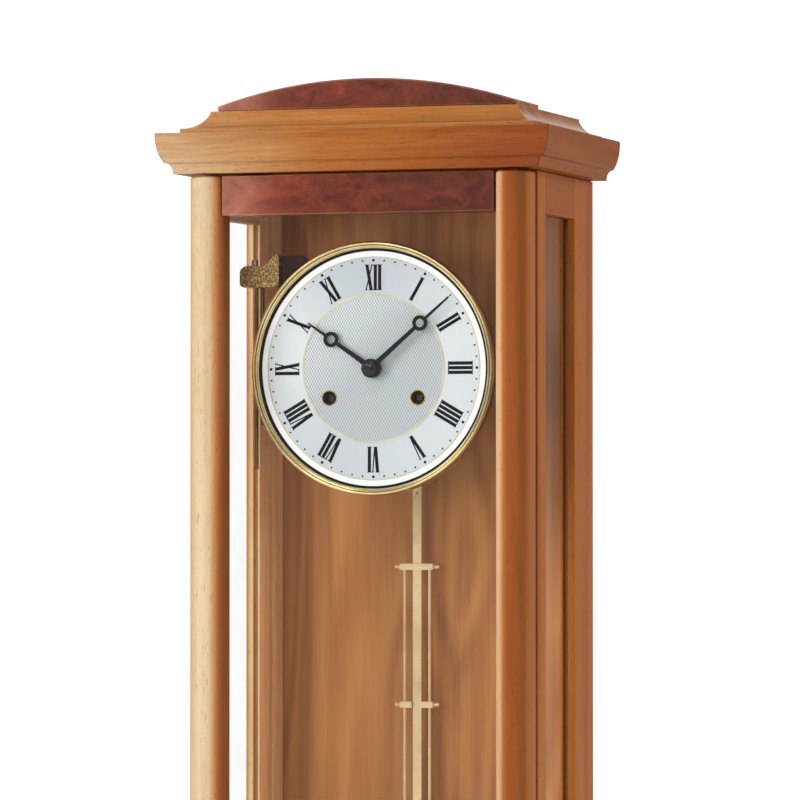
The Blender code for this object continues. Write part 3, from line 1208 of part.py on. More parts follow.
def gong(carrier):
    """The cast gong block with its lug to the front plate, and the two hanging rods."""
    width = GONG_BLOCK_WIDTH
    middle = GONG_BLOCK_LEFT + width / 2
    outline = [(GONG_BLOCK_LEFT, GONG_BLOCK_BOTTOM), (GONG_BLOCK_LEFT, GONG_BLOCK_SHOULDER - width / 15)]
    outline += [(middle - width / 4, GONG_BLOCK_SHOULDER), (middle, GONG_BLOCK_SHOULDER)]
    outline += [(GONG_BLOCK_RIGHT - width / 5, GONG_BLOCK_PEAK), (GONG_BLOCK_RIGHT, GONG_BLOCK_PEAK)]
    outline += [(GONG_BLOCK_RIGHT, GONG_BLOCK_SHOULDER - width / 5)]
    outline += [(GONG_BLOCK_RIGHT - width / 5, GONG_BLOCK_BOTTOM)]
    front = GONG_Y - GONG_BLOCK_DEPTH / 2
    back = GONG_Y + GONG_BLOCK_DEPTH / 2
    block = prism(outline, "Y", front, back)
    end = -PLATE_WIDTH / 2 + GONG_LUG_OVERLAP
    low = PLATE_ABOVE - GONG_LUG_OVERLAP
    root = middle + width / 4
    lug_top = GONG_BLOCK_PEAK - GONG_LUG_CORNER / 4
    lug_right = GONG_BLOCK_RIGHT + GONG_LUG_REACH
    lug_outline = [(root, GONG_BLOCK_BOTTOM + width / 10), (root, lug_top)]
    corner = (lug_right - GONG_LUG_CORNER, lug_top)
    lug_outline += arc(corner, (lug_right, lug_top - GONG_LUG_CORNER), 0, math.pi / 2)
    lug_outline += [(end, PLATE_ABOVE), (end, low), (end - GONG_LUG_OVERLAP, low)]
    lug = prism(lug_outline, "Y", PAN_BACK + SEAT_GAP, FRONT_PLATE_FRONT - SEAT_GAP)
    seat_top = GONG_BLOCK_BOTTOM + GONG_ROD_SEAT
    rods = (
        ("gong_rod_low", GONG_RIGHT_ROD_X - GONG_ROD_SPACING, GONG_LOW_LENGTH),
        ("gong_rod_high", GONG_RIGHT_ROD_X, GONG_HIGH_LENGTH),
    )
    sockets = []
    for name, x, length in rods:
        place = (x, GONG_Y)
        reach = (GONG_BLOCK_BOTTOM - GONG_ROD_SEAT, seat_top + SEAT_GAP)
        sockets.append(cylinder("Z", place, GONG_ROD_RADIUS + SEAT_GAP, *reach))
        rod = cylinder("Z", place, GONG_ROD_RADIUS, seat_top - length, seat_top)
        piece(name, rod, STEEL, carrier, smooth=True)
    piece("gong_block", cut(union(block, lug), together(sockets)), BRONZED, carrier)


# Pendulum


def suspension_spring(carrier):
    """The spring that hangs from the cock: a block and a thin blade that bends on the pendulum's axis."""
    half = CLIP_WIDTH / 2 - STRIP_THICKNESS
    depth = CLIP_THICKNESS / 2
    block_low = ANCHOR.y + STRIP_THICKNESS
    block = box((-half, half), (PENDULUM_Y - depth, PENDULUM_Y + depth), (block_low, COCK_BASE - SEAT_GAP))
    thin = SPRING_THICKNESS / 2
    blade = box(
        (-SPRING_WIDTH / 2, SPRING_WIDTH / 2),
        (PENDULUM_Y - thin, PENDULUM_Y + thin),
        (ANCHOR.y + SPRING_BEND_GAP, block_low + STRIP_THICKNESS),
    )
    piece("suspension_spring", union(block, blade), STEEL, carrier)


def pendulum_rod(carrier):
    """The brass strip with its clip at the top and the threaded rod below."""
    top = ANCHOR.y - SPRING_BEND_GAP
    half = CLIP_WIDTH / 2
    depth = CLIP_THICKNESS / 2
    clip = box((-half, half), (PENDULUM_Y - depth, PENDULUM_Y + depth), (top - CLIP_HEIGHT, top))
    thin = STRIP_THICKNESS / 2
    strip = box(
        (-STRIP_WIDTH / 2, STRIP_WIDTH / 2),
        (PENDULUM_Y - thin, PENDULUM_Y + thin),
        (STRIP_END, top - CLIP_HEIGHT / 2),
    )
    hole_reach = (PENDULUM_Y - STRIP_WIDTH, PENDULUM_Y + STRIP_WIDTH)
    hole = cylinder("Y", (0, -STRIP_HOLE_BELOW_DIAL), STRIP_HOLE, *hole_reach)
    thread = cylinder("Z", (0, PENDULUM_Y), THREAD_RADIUS, THREAD_END, STRIP_END + THREAD_RADIUS)
    shape = union(clip, cut(strip, hole), thread)
    piece("pendulum_rod", shape, PENDULUM_BRASS, carrier, along_y(ANCHOR, PENDULUM_Y))


def pendulum_grid(carrier):
    """The two side rods and the three cross bars, notched round the strip."""
    half = GRID_BAR_WIDTH / 2
    depth = GRID_BAR_DEPTH / 2
    notch_half = STRIP_WIDTH / 2 + SEAT_GAP
    clear = STRIP_THICKNESS / 2 + SEAT_GAP
    bars = []
    for row in range(GRID_BARS):
        z = -GRID_TOP_BELOW_DIAL - row * GRID_PITCH
        low = z - GRID_BAR_HEIGHT / 2
        high = z + GRID_BAR_HEIGHT / 2
        bar = box((-half, half), (PENDULUM_Y - depth, PENDULUM_Y + depth), (low, high))
        knob_end = half + GRID_KNOB_LENGTH
        knobs = cylinder("X", (PENDULUM_Y, z), GRID_KNOB_RADIUS, -knob_end, knob_end)
        side = -1 if row % 2 else 1
        notch_y = sorted((PENDULUM_Y - side * clear, PENDULUM_Y + side * GRID_BAR_DEPTH))
        notch = box((-notch_half, notch_half), notch_y, (low - GRID_BAR_HEIGHT, high + GRID_BAR_HEIGHT))
        bars.append(cut(union(bar, knobs), notch))
    foot = -GRID_TOP_BELOW_DIAL - (GRID_BARS - 1) * GRID_PITCH
    rods = []
    for x in (-GRID_ROD_SPREAD, GRID_ROD_SPREAD):
        rods.append(cylinder("Z", (x, PENDULUM_Y), GRID_ROD_RADIUS, foot, -GRID_TOP_BELOW_DIAL))
    shape = union(together(bars), together(rods))
    piece("pendulum_grid", shape, PENDULUM_BRASS, carrier, along_y(ANCHOR, PENDULUM_Y), smooth=True)


def bob_and_nut(carrier):
    """The lens bob, bored for the threaded rod, and the rating nut that carries it."""
    half = BOB_THICKNESS / 2
    rim = BOB_RIM / 2
    dome = math.radians(60)
    profile = arc((0, PENDULUM_Y - half), (BOB_RADIUS, PENDULUM_Y - rim), 0, dome, BEAD_STEPS)
    profile += arc((BOB_RADIUS, PENDULUM_Y + rim), (0, PENDULUM_Y + half), dome, 0, BEAD_STEPS)
    lens = turned(profile, "Y", (0, BOB_Z), ROUND_STEPS)
    bore_reach = (BOB_Z - 2 * BOB_RADIUS, BOB_Z + 2 * BOB_RADIUS)
    bore = cylinder("Z", (0, PENDULUM_Y), THREAD_RADIUS + SEAT_GAP, *bore_reach)
    piece("pendulum_bob", cut(lens, bore), GILT, carrier, (0, PENDULUM_Y, BOB_Z), smooth=True)

    outline = []
    for facet in range(2 * NUT_FACETS):
        radius = NUT_RADIUS if facet % 2 else NUT_RADIUS - SEAT_GAP
        angle = math.pi * facet / NUT_FACETS
        outline.append((radius * math.cos(angle), PENDULUM_Y + radius * math.sin(angle)))
    nut = prism(outline, "Z", NUT_TOP - NUT_HEIGHT, NUT_TOP)
    bore_reach = (NUT_TOP - 2 * NUT_HEIGHT, NUT_TOP + NUT_HEIGHT)
    bore = cylinder("Z", (0, PENDULUM_Y), THREAD_RADIUS + SEAT_GAP, *bore_reach)
    piece("rating_nut", cut(nut, bore), PENDULUM_BRASS, carrier, (0, PENDULUM_Y, NUT_TOP))


def build():
    """All the pieces, each under the empty of its assembly."""
    for old in list(bpy.data.objects):
        bpy.data.objects.remove(old, do_unlink=True)
    case = group("case")
    side_frame("left", -1, case)
    side_frame("right", 1, case)
    back_panel(case)
    hanger_plate(case)
    crown_mouldings(case)
    crown_board(case)
    crown_cap(case)
    pediment(case)
    base(case)
    door_fittings(case)

    door = group("door", (HINGE_X, HINGE_Y, 0))
    door_stiles(door)
    door_rails(door)
    door_glass(door)

    dial = group("dial")
    dial_plate(dial)
    bezel(dial)
    dial_pan(dial)
    hands(dial)

    movement = group("movement")
    movement_bracket(movement)
    plates(movement)
    barrels(movement)
    winding_arbors(movement)
    going_train(movement)
    anchor(movement)
    motion_work(movement)
    strike_train(movement)
    gong(movement)

    pendulum = group("pendulum", along_y(ANCHOR, PENDULUM_Y))
    suspension_spring(movement)
    pendulum_rod(pendulum)
    pendulum_grid(pendulum)
    bob_and_nut(pendulum)


build()
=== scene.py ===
# %% [markdown]
# # A regulator wall clock, dressed over its solid model
# The solid model gives every piece its place: case, door, dial, movement and pendulum. This lesson loads it
# as a fixed frame, keeps the shapes that are already right, and replaces the ones where light shows more:
# rounded pillars, mouldings, hands, bezel and castings. Everything is in metres, with +Z up and the front
# toward -Y.

# %% Load the frame
import json
import math

import bmesh
import bpy
from mathutils import Matrix, Vector, noise

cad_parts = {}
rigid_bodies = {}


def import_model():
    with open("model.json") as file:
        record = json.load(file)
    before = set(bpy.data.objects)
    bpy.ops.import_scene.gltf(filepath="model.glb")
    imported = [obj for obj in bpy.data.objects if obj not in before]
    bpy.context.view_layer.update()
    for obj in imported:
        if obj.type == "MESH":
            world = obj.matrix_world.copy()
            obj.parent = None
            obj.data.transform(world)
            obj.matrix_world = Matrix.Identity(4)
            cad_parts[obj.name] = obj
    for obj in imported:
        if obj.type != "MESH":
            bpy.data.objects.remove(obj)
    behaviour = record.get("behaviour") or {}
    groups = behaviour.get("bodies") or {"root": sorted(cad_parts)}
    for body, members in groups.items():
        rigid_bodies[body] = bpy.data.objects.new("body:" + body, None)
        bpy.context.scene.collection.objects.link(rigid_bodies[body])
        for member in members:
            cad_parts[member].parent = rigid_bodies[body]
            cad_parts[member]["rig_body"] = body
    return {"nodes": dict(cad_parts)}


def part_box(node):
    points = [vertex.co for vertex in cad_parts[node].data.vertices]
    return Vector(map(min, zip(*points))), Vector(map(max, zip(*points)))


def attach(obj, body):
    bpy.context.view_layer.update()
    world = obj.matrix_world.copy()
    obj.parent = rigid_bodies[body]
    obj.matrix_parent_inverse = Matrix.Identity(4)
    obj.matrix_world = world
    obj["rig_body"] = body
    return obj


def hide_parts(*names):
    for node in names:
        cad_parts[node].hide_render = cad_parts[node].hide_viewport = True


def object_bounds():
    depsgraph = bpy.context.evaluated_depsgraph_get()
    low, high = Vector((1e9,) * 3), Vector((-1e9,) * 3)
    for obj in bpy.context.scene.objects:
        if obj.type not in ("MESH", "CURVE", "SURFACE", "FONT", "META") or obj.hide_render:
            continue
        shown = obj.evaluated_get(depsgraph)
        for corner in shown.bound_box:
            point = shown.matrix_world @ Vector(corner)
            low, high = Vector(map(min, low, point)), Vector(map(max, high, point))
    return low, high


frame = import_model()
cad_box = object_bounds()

nodes = frame["nodes"]
print("CAD nodes:", len(nodes), "box:", [list(corner) for corner in cad_box])

# %% [markdown]
# ## The camera
# The picture was taken with a long lens, a little to the right of straight on and below the dial. A long
# lens far away keeps the uprights parallel. The camera is tipped up slightly instead of being shifted, so
# that other views can reuse it.

# %% Place the camera
PICTURE = 800
FOCAL_PIXELS = 5400
VIEW_ANGLE = math.radians(18.0)
VIEW_TILT = math.radians(1.26)
CAMERA_PLACE = Vector((1.2157, -3.8107, -0.1079))


def place_camera():
    data = bpy.data.cameras.new("long_lens")
    data.sensor_width = 36.0
    data.lens = FOCAL_PIXELS / PICTURE * data.sensor_width
    data.clip_end = 50.0
    camera = bpy.data.objects.new("long_lens", data)
    bpy.context.scene.collection.objects.link(camera)
    camera.location = CAMERA_PLACE
    camera.rotation_euler = (math.pi / 2 + VIEW_TILT, 0.0, VIEW_ANGLE)
    bpy.context.scene.camera = camera
    return camera


camera = place_camera()
print("lens in mm:", round(camera.data.lens, 1))

# %% [markdown]
# ## The studio
# A soft, bright room: a pale floor under the clock, a white surround and area lamps, which give soft shadow
# edges. A large panel on the left and a narrow one far left shape the round pillars, one in front reaches
# into the case, and weaker ones come from the right, from above and from behind. A lamp mirrored in the
# door's glass would veil the dial, so the lamps at eye level are kept out of mirrored rays. Those find the
# high lamps and a brighter surround instead, which keeps the metals lively.

# %% Build the studio
FLOOR_SIZE = 4.4
FLOOR_GAP = 0.0005
SURROUND_LIGHT = 0.38
SURROUND_MIRRORED = 0.50
BACKDROP = 1.15


def lamp(name, place, target, size, watts, mirrored=True):
    data = bpy.data.lights.new(name, "AREA")
    data.shape = "RECTANGLE"
    data.size, data.size_y = size
    data.energy = watts
    made = bpy.data.objects.new(name, data)
    bpy.context.scene.collection.objects.link(made)
    made.location = place
    made.rotation_euler = (Vector(target) - Vector(place)).to_track_quat("-Z", "Y").to_euler()
    made.visible_glossy = mirrored


def white_surround(strength, mirrored, backdrop):
    world = bpy.data.worlds.new("white_surround")
    bpy.context.scene.world = world
    world.use_nodes = True
    tree = world.node_tree
    light = tree.nodes["Background"]
    light.inputs["Color"].default_value = (1.0, 1.0, 1.0, 1.0)
    seen = tree.nodes.new("ShaderNodeBackground")
    seen.inputs["Color"].default_value = (1.0, 1.0, 1.0, 1.0)
    seen.inputs["Strength"].default_value = backdrop
    path = tree.nodes.new("ShaderNodeLightPath")
    level = tree.nodes.new("ShaderNodeMapRange")
    level.inputs["To Min"].default_value = strength
    level.inputs["To Max"].default_value = mirrored
    tree.links.new(path.outputs["Is Glossy Ray"], level.inputs["Value"])
    tree.links.new(level.outputs["Result"], light.inputs["Strength"])
    mix = tree.nodes.new("ShaderNodeMixShader")
    tree.links.new(path.outputs["Is Camera Ray"], mix.inputs["Fac"])
    tree.links.new(light.outputs["Background"], mix.inputs[1])
    tree.links.new(seen.outputs["Background"], mix.inputs[2])
    tree.links.new(mix.outputs["Shader"], tree.nodes["World Output"].inputs["Surface"])


def pale_floor():
    shape = bmesh.new()
    bmesh.ops.create_grid(shape, x_segments=1, y_segments=1, size=FLOOR_SIZE / 2)
    bmesh.ops.translate(shape, verts=shape.verts, vec=(0.0, 0.0, cad_box[0][2] - FLOOR_GAP))
    mesh = bpy.data.meshes.new("pale_floor")
    shape.to_mesh(mesh)
    shape.free()
    floor = bpy.data.objects.new("pale_floor", mesh)
    bpy.context.scene.collection.objects.link(floor)
    paint = bpy.data.materials.new("pale_floor_paint")
    paint.use_nodes = True
    shader = paint.node_tree.nodes["Principled BSDF"]
    shader.inputs["Base Color"].default_value = (0.86, 0.86, 0.85, 1.0)
    shader.inputs["Roughness"].default_value = 0.9
    mesh.materials.append(paint)


bpy.context.scene.view_settings.view_transform = "Standard"
white_surround(SURROUND_LIGHT, SURROUND_MIRRORED, BACKDROP)
lamp("left_panel", (-1.7, -2.0, 0.35), (0.0, -0.1, -0.1), (0.8, 1.8), 31.0, mirrored=False)
lamp("left_glint", (-1.6, -2.0, 1.1), (0.0, -0.1, 0.0), (0.9, 0.8), 8.0)
lamp("left_rim", (-2.3, -0.75, 0.1), (0.1, -0.16, -0.1), (0.25, 1.8), 34.0, mirrored=False)
lamp("front_fill", (-0.2, -3.4, 0.0), (0.0, -0.1, -0.1), (0.8, 0.8), 25.0, mirrored=False)
lamp("high_panel", (-0.7, -3.2, 1.05), (0.0, -0.1, -0.1), (0.8, 0.8), 9.0)
lamp("right_panel", (2.4, -0.3, 0.4), (0.1, -0.1, -0.1), (0.8, 1.6), 26.0, mirrored=False)
lamp("top_panel", (0.0, -1.6, 2.2), (0.0, -0.1, 0.1), (1.0, 0.6), 9.0)
lamp("back_panel_light", (-0.6, 2.2, 1.0), (0.0, 0.0, 0.0), (1.4, 1.4), 12.0)
pale_floor()

# %% [markdown]
# ## Writing finishes as expressions
# A finish is a small network of shader nodes. Wiring it by hand is slow to read, so one class stands for a
# socket: adding or multiplying two of them adds a Math node. A second class is the network of one material,
# with one method that makes any other node.


# %% Socket arithmetic
class Level:
    """A number that changes over the surface."""

    def __init__(self, finish, socket):
        self.finish = finish
        self.socket = socket

    def __add__(self, other):
        return self.finish.math("ADD", self, other)

    def __sub__(self, other):
        return self.finish.math("SUBTRACT", self, other)

    def __rsub__(self, other):
        return self.finish.math("SUBTRACT", other, self)

    def __mul__(self, other):
        return self.finish.math("MULTIPLY", self, other)

    def __truediv__(self, other):
        return self.finish.math("DIVIDE", self, other)

    __radd__ = __add__
    __rmul__ = __mul__


class Finish:
    """The node network of one material."""

    def __init__(self, name, **constants):
        self.material = bpy.data.materials.new(name)
        self.material.use_nodes = True
        self.tree = self.material.node_tree
        self.shader = self.tree.nodes["Principled BSDF"]
        for socket, value in constants.items():
            self.shader.inputs[socket.replace("_", " ")].default_value = value

    def node(self, kind, settings=None, sockets=None, output=0):
        made = self.tree.nodes.new(kind)
        for key, value in (settings or {}).items():
            if key == "stops":
                self.set_stops(made.color_ramp, value)
            else:
                setattr(made, key, value)
        for key, value in (sockets or {}).items():
            self.feed(made.inputs[key], value)
        return Level(self, made.outputs[output])

    def set_stops(self, ramp, stops):
        while len(ramp.elements) < len(stops):
            ramp.elements.new(1.0)
        for element, (place, colour) in zip(ramp.elements, stops):
            element.position = place
            element.color = (*colour, 1.0)

    def feed(self, socket, value):
        if isinstance(value, Level):
            self.tree.links.new(value.socket, socket)
        else:
            socket.default_value = value

    def math(self, operation, a, b=0.0):
        return self.node("ShaderNodeMath", {"operation": operation}, {0: a, 1: b})

    def place(self, scale=(1.0, 1.0, 1.0), shift=(0.0, 0.0, 0.0)):
        spot = self.node("ShaderNodeTexCoord", output="Object")
        return self.node("ShaderNodeMapping", None, {"Vector": spot, "Scale": scale, "Location": shift})

    def across_and_up(self):
        """The X and the Z of the object's own space."""
        parts = self.node("ShaderNodeSeparateXYZ", None, {0: self.place()}).socket.node
        return [Level(self, parts.outputs[axis]) for axis in "XZ"]

    def clouds(self, vector, scale, detail=4.0, roughness=0.55, distortion=0.0):
        sockets = {"Vector": vector, "Scale": scale, "Detail": detail, "Roughness": roughness}
        sockets["Distortion"] = distortion
        return self.node("ShaderNodeTexNoise", None, sockets)

    def ramp(self, level, *stops):
        return self.node("ShaderNodeValToRGB", {"stops": stops}, {"Fac": level})

    def blend(self, share, a, b, mode="MIX"):
        settings = {"data_type": "RGBA", "blend_type": mode}
        return self.node("ShaderNodeMix", settings, {0: share, 6: a, 7: b}, output=2)

    def step(self, level, low, high):
        settings = {"interpolation_type": "SMOOTHSTEP"}
        return self.node("ShaderNodeMapRange", settings, {"Value": level, "From Min": low, "From Max": high})

    def colour(self, value):
        self.feed(self.shader.inputs["Base Color"], value)

    def roughness(self, value):
        self.feed(self.shader.inputs["Roughness"], value)

    def relief(self, height, distance, strength=1.0):
        sockets = {"Height": height, "Distance": distance, "Strength": strength}
        self.feed(self.shader.inputs["Normal"], self.node("ShaderNodeBump", None, sockets))


print("finish tools ready")

# %% [markdown]
# ## Cherry
# The case is satin cherry: warm tan, quiet grain, darker threads along the length and short dark pores. The
# noise is squeezed across the board and stretched along it, so one function serves pieces that run along X,
# Y or Z. A slow ramp across the width paints the fall of light from the left into the colour: pale on the
# left, redder and darker on the right. On the pillars the ramp paints a highlight and shaded flanks on each
# round.

# %% Cherry finish
ALONG = {"X": (0.06, 1.0, 1.0), "Y": (1.0, 0.06, 1.0), "Z": (1.0, 1.0, 0.06)}
PORE = {"X": (0.16, 1.0, 1.0), "Y": (1.0, 0.16, 1.0), "Z": (1.0, 1.0, 0.16)}
PORE_TINT = (0.66, 0.54, 0.44)


def rgb(red, green, blue):
    """A screen colour, 0 to 255, as the linear colour that shaders use."""
    parts = [channel / 255 for channel in (red, green, blue)]
    return tuple(part / 12.92 if part <= 0.04045 else ((part + 0.055) / 1.055) ** 2.4 for part in parts)


PALE_EDGE = rgb(226, 186, 136)
CASE_SPAN = cad_box[1][0] - cad_box[0][0]
# Painted light: these ramps multiply the wood's colour from left to right, pale where the light falls and
# redder and darker where it falls off.
SOFT_PAINTED_LIGHT = ((0.072, (0.45, 0.30, 0.19)), (0.085, (1.0, 1.0, 1.0)), (0.125, (1.0, 1.0, 1.0)))
SOFT_PAINTED_LIGHT += ((0.40, (0.615, 0.373, 0.184)), (0.92, (0.46, 0.231, 0.076)), (0.98, (0.36, 0.165, 0.06)))
CAP_PAINTED_LIGHT = ((0.05, (0.78, 0.85, 0.93)), (0.40, (0.78, 0.68, 0.48)), (0.90, (0.72, 0.66, 0.50)))
STRONG_PAINTED_LIGHT = ((0.06, (1.0, 1.0, 1.0)), (0.23, (0.86, 0.65, 0.48)), (0.42, (0.69, 0.36, 0.14)))
STRONG_PAINTED_LIGHT += ((0.65, (0.61, 0.27, 0.105)), (0.90, (0.48, 0.18, 0.08)))
BURL_PAINTED_LIGHT = ((0.12, (1.0, 1.0, 1.0)), (0.45, (0.66, 0.60, 0.56)), (0.90, (0.44, 0.42, 0.42)))
# Painted highlights and shade: across each pillar the ramp goes from a tan edge to a cream highlight, then
# darkens to a shaded flank.
PILLAR_PAINTED_LIGHT = ((0.068, (0.55, 0.37, 0.18)), (0.075, (0.64, 0.53, 0.34)), (0.098, (0.77, 0.78, 0.72)))
PILLAR_PAINTED_LIGHT += ((0.128, (1.0, 1.0, 1.0)),)
PILLAR_PAINTED_LIGHT += ((0.139, (0.98, 0.57, 0.28)), (0.147, (0.62, 0.29, 0.14)), (0.153, (0.55, 0.25, 0.12)))
PILLAR_PAINTED_LIGHT += ((0.848, (0.44, 0.18, 0.06)), (0.852, (0.80, 0.66, 0.50)), (0.866, (0.80, 0.68, 0.54)))
PILLAR_PAINTED_LIGHT += ((0.874, (0.55, 0.25, 0.10)),)
PILLAR_PAINTED_LIGHT += ((0.885, (0.44, 0.16, 0.04)), (0.905, (0.45, 0.17, 0.06)), (0.924, (0.36, 0.16, 0.06)))
PILLAR_PAINTED_LIGHT += ((0.931, (0.62, 0.26, 0.08)),)


def painted_side_light(wood, colour, stops):
    """Painted light: a colour that deepens from the left of the case to the right, as the light from the
    left falls off.
    """
    across = wood.node("ShaderNodeSeparateXYZ", None, {0: wood.place()}, output="X")
    return wood.blend(1.0, colour, wood.ramp(across / CASE_SPAN + 0.5, *stops), "MULTIPLY")


def cherry(name, along, tones, stops=SOFT_PAINTED_LIGHT, lacquer=0.10, sheen=0.05):
    dark, middle, light = tones
    wood = Finish(name, Specular_IOR_Level=sheen, Coat_Weight=lacquer, Coat_Roughness=0.24)
    grain = wood.place(scale=ALONG[along])
    broad = wood.clouds(grain, 38.0, 5.0, 0.5, 0.6)
    thread = wood.clouds(grain, 420.0, 4.0, 0.6, 0.3)
    fibre = wood.clouds(grain, 1900.0, 2.0, 0.6)
    tone = broad * 0.62 + thread * 0.30 + fibre * 0.08
    body = wood.ramp(tone, (0.34, dark), (0.50, middle), (0.65, light))
    pore = wood.step(wood.clouds(wood.place(scale=PORE[along]), 900.0, 1.0), 0.62, 0.72)
    deep = tuple(channel * share for channel, share in zip(dark, PORE_TINT))
    flecked = wood.blend(pore * broad * 0.75, body, (*deep, 1.0))
    worn = wood.node("ShaderNodeAttribute", {"attribute_name": "worn_edge"}, output="Fac")
    edged = wood.blend(worn * broad * 0.7, flecked, (*PALE_EDGE, 1.0))
    wood.colour(painted_side_light(wood, edged, stops))
    wood.roughness(0.34 + thread * 0.14)
    wood.relief(thread * 0.6 + fibre * 0.4, 0.00012, 0.5)
    return wood.material


RED_TONES = (rgb(158, 98, 54), rgb(186, 124, 72), rgb(206, 150, 96))
TAN_TONES = (rgb(148, 107, 72), rgb(173, 138, 99), rgb(190, 163, 128))
PILLAR_TONES = (rgb(178, 150, 116), rgb(197, 170, 137), rgb(210, 186, 156))
# Painted light: the uprights take lighter tones than the rest of the case, which lift the stiles where they
# stand in shade.
SHADE_LIFTED_TONES = (rgb(198, 142, 92), rgb(230, 176, 124), rgb(244, 206, 158))
SIDE_TONES = (rgb(182, 131, 80), rgb(211, 161, 110), rgb(227, 190, 142))
cherry_up = cherry("cherry_upright", "Z", SHADE_LIFTED_TONES)
cherry_pillar = cherry("cherry_pillar", "Z", PILLAR_TONES, PILLAR_PAINTED_LIGHT, lacquer=0.02, sheen=0.15)
cherry_deep = cherry("cherry_sideways", "Y", SIDE_TONES)
cherry_crown = cherry("cherry_crown", "X", TAN_TONES, STRONG_PAINTED_LIGHT)
cherry_wide = cherry("cherry_across", "X", RED_TONES, CAP_PAINTED_LIGHT)
cherries = (cherry_up, cherry_pillar, cherry_deep, cherry_crown, cherry_wide)
print("cherry finishes:", [wood.name for wood in cherries])

# %% [markdown]
# ## Burl veneer
# The door's rails and the pediment carry a dark, reddish root veneer under a glossy lacquer. Its figure has
# no direction: a noise bends the coordinates of a second noise, which gives the swirls, and small dark eyes
# sit in it.


# %% Burl finish
# The pale colour of a painted sheen on the left of the burl.
BURL_SHEEN_COLOUR = rgb(176, 124, 104)


def burl_veneer():
    wood = Finish("burl_veneer", Specular_IOR_Level=0.20, Coat_Weight=0.12, Coat_Roughness=0.14)
    flat = wood.place(scale=(1.0, 1.0, 1.6))
    sockets = {"Vector": flat, "Scale": 16.0, "Detail": 3.0}
    bend = wood.node("ShaderNodeTexNoise", None, sockets, output="Color")
    push = wood.node("ShaderNodeVectorMath", {"operation": "SCALE"}, {0: bend, "Scale": 0.075})
    swirl = wood.node("ShaderNodeVectorMath", {"operation": "ADD"}, {0: flat, 1: push})
    cloud = wood.clouds(swirl, 26.0, 6.0, 0.58, 1.2)
    streak = wood.clouds(swirl, 160.0, 4.0, 0.6, 0.8)
    spot = wood.node("ShaderNodeTexVoronoi", None, {"Vector": swirl, "Scale": 95.0}, output="Distance")
    eye = 1.0 - wood.step(spot, 0.05, 0.16)
    tone = cloud * 0.75 + streak * 0.25
    dark, red, warm, light = rgb(68, 28, 22), rgb(108, 48, 31), rgb(136, 62, 36), rgb(168, 88, 54)
    body = wood.ramp(tone, (0.30, dark), (0.47, red), (0.60, warm), (0.72, light))
    eyed = wood.blend(eye * 0.35, body, (*rgb(58, 28, 26), 1.0))
    worn = wood.node("ShaderNodeAttribute", {"attribute_name": "worn_edge"}, output="Fac")
    edged = wood.blend(worn * cloud * 0.8, eyed, (*rgb(196, 136, 104), 1.0))
    # Painted light: the burl is paler toward the left, a painted sheen, and deepens to the right as the
    # light falls off.
    across = wood.node("ShaderNodeSeparateXYZ", None, {0: flat}, output="X") / CASE_SPAN + 0.5
    painted_left_sheen = (1.0 - wood.step(across, 0.13, 0.32)) * cloud * 0.9
    wood.colour(wood.blend(painted_left_sheen, painted_side_light(wood, edged, BURL_PAINTED_LIGHT), (*BURL_SHEEN_COLOUR, 1.0)))
    wood.roughness(0.24 + streak * 0.12)
    wood.relief(streak, 0.00008, 0.4)
    return wood.material


burl = burl_veneer()
print("burl:", burl.name)

# %% [markdown]
# ## Back veneer
# Behind the pendulum stands one wide sheet of flat-sawn veneer. Its growth rings show as long pointed
# arches. They are the level lines of a slow noise, stretched along the height: the sine of that noise rises
# and falls many times, once for each ring.


# %% Back veneer finish
def flat_sawn_veneer():
    wood = Finish("flat_sawn_veneer", Specular_IOR_Level=0.4, Coat_Weight=0.1, Coat_Roughness=0.3)
    sheet = wood.place(scale=(1.0, 1.0, 0.13), shift=(0.012, 0.0, 0.02))
    slow = wood.clouds(sheet, 14.0, 2.0, 0.5, 0.4)
    ring = wood.math("SINE", slow * 62.0)
    thread = wood.clouds(wood.place(scale=(1.0, 1.0, 0.03)), 520.0, 3.0, 0.6)
    broad = wood.clouds(wood.place(scale=(1.0, 1.0, 0.3)), 9.0, 2.0)
    tone = ring * 0.09 + thread * 0.30 + broad * 0.40 + 0.15
    body = wood.ramp(tone, (0.30, rgb(143, 87, 40)), (0.50, rgb(173, 112, 55)), (0.72, rgb(192, 132, 72)))
    wood.colour(body)
    wood.roughness(0.42 + thread * 0.12)
    wood.relief(thread, 0.0001, 0.4)
    return wood.material


veneer = flat_sawn_veneer()
print("veneer:", veneer.name)

# %% [markdown]
# ## Glass
# Thin panes hardly bend light, so the pane is a mix: almost wholly clear, with a small share of mirror. A
# Fresnel node would turn the far side of a pane into a full mirror, so the share is a number, and faint
# wipe marks vary it. The side panes, seen at a slant, mirror more than the door.


# %% Glass finish
DOOR_MIRROR = 0.02
SIDE_MIRROR = 0.07


def window_glass(name, mirror):
    pane = Finish(name)
    tree = pane.tree
    clear = tree.nodes.new("ShaderNodeBsdfTransparent")
    clear.inputs["Color"].default_value = (0.992, 0.997, 0.994, 1.0)
    shine = tree.nodes.new("ShaderNodeBsdfGlossy")
    shine.inputs["Roughness"].default_value = 0.03
    wipe = pane.clouds(pane.place(scale=(1.0, 1.0, 0.35)), 22.0, 3.0)
    mix = tree.nodes.new("ShaderNodeMixShader")
    pane.feed(mix.inputs["Fac"], wipe * mirror + mirror / 2)
    tree.links.new(clear.outputs["BSDF"], mix.inputs[1])
    tree.links.new(shine.outputs["BSDF"], mix.inputs[2])
    tree.links.new(mix.outputs["Shader"], tree.nodes["Material Output"].inputs["Surface"])
    return pane.material


glass = window_glass("window_glass", DOOR_MIRROR)
side_glass = window_glass("side_glass", SIDE_MIRROR)
print("glass:", glass.name, side_glass.name)

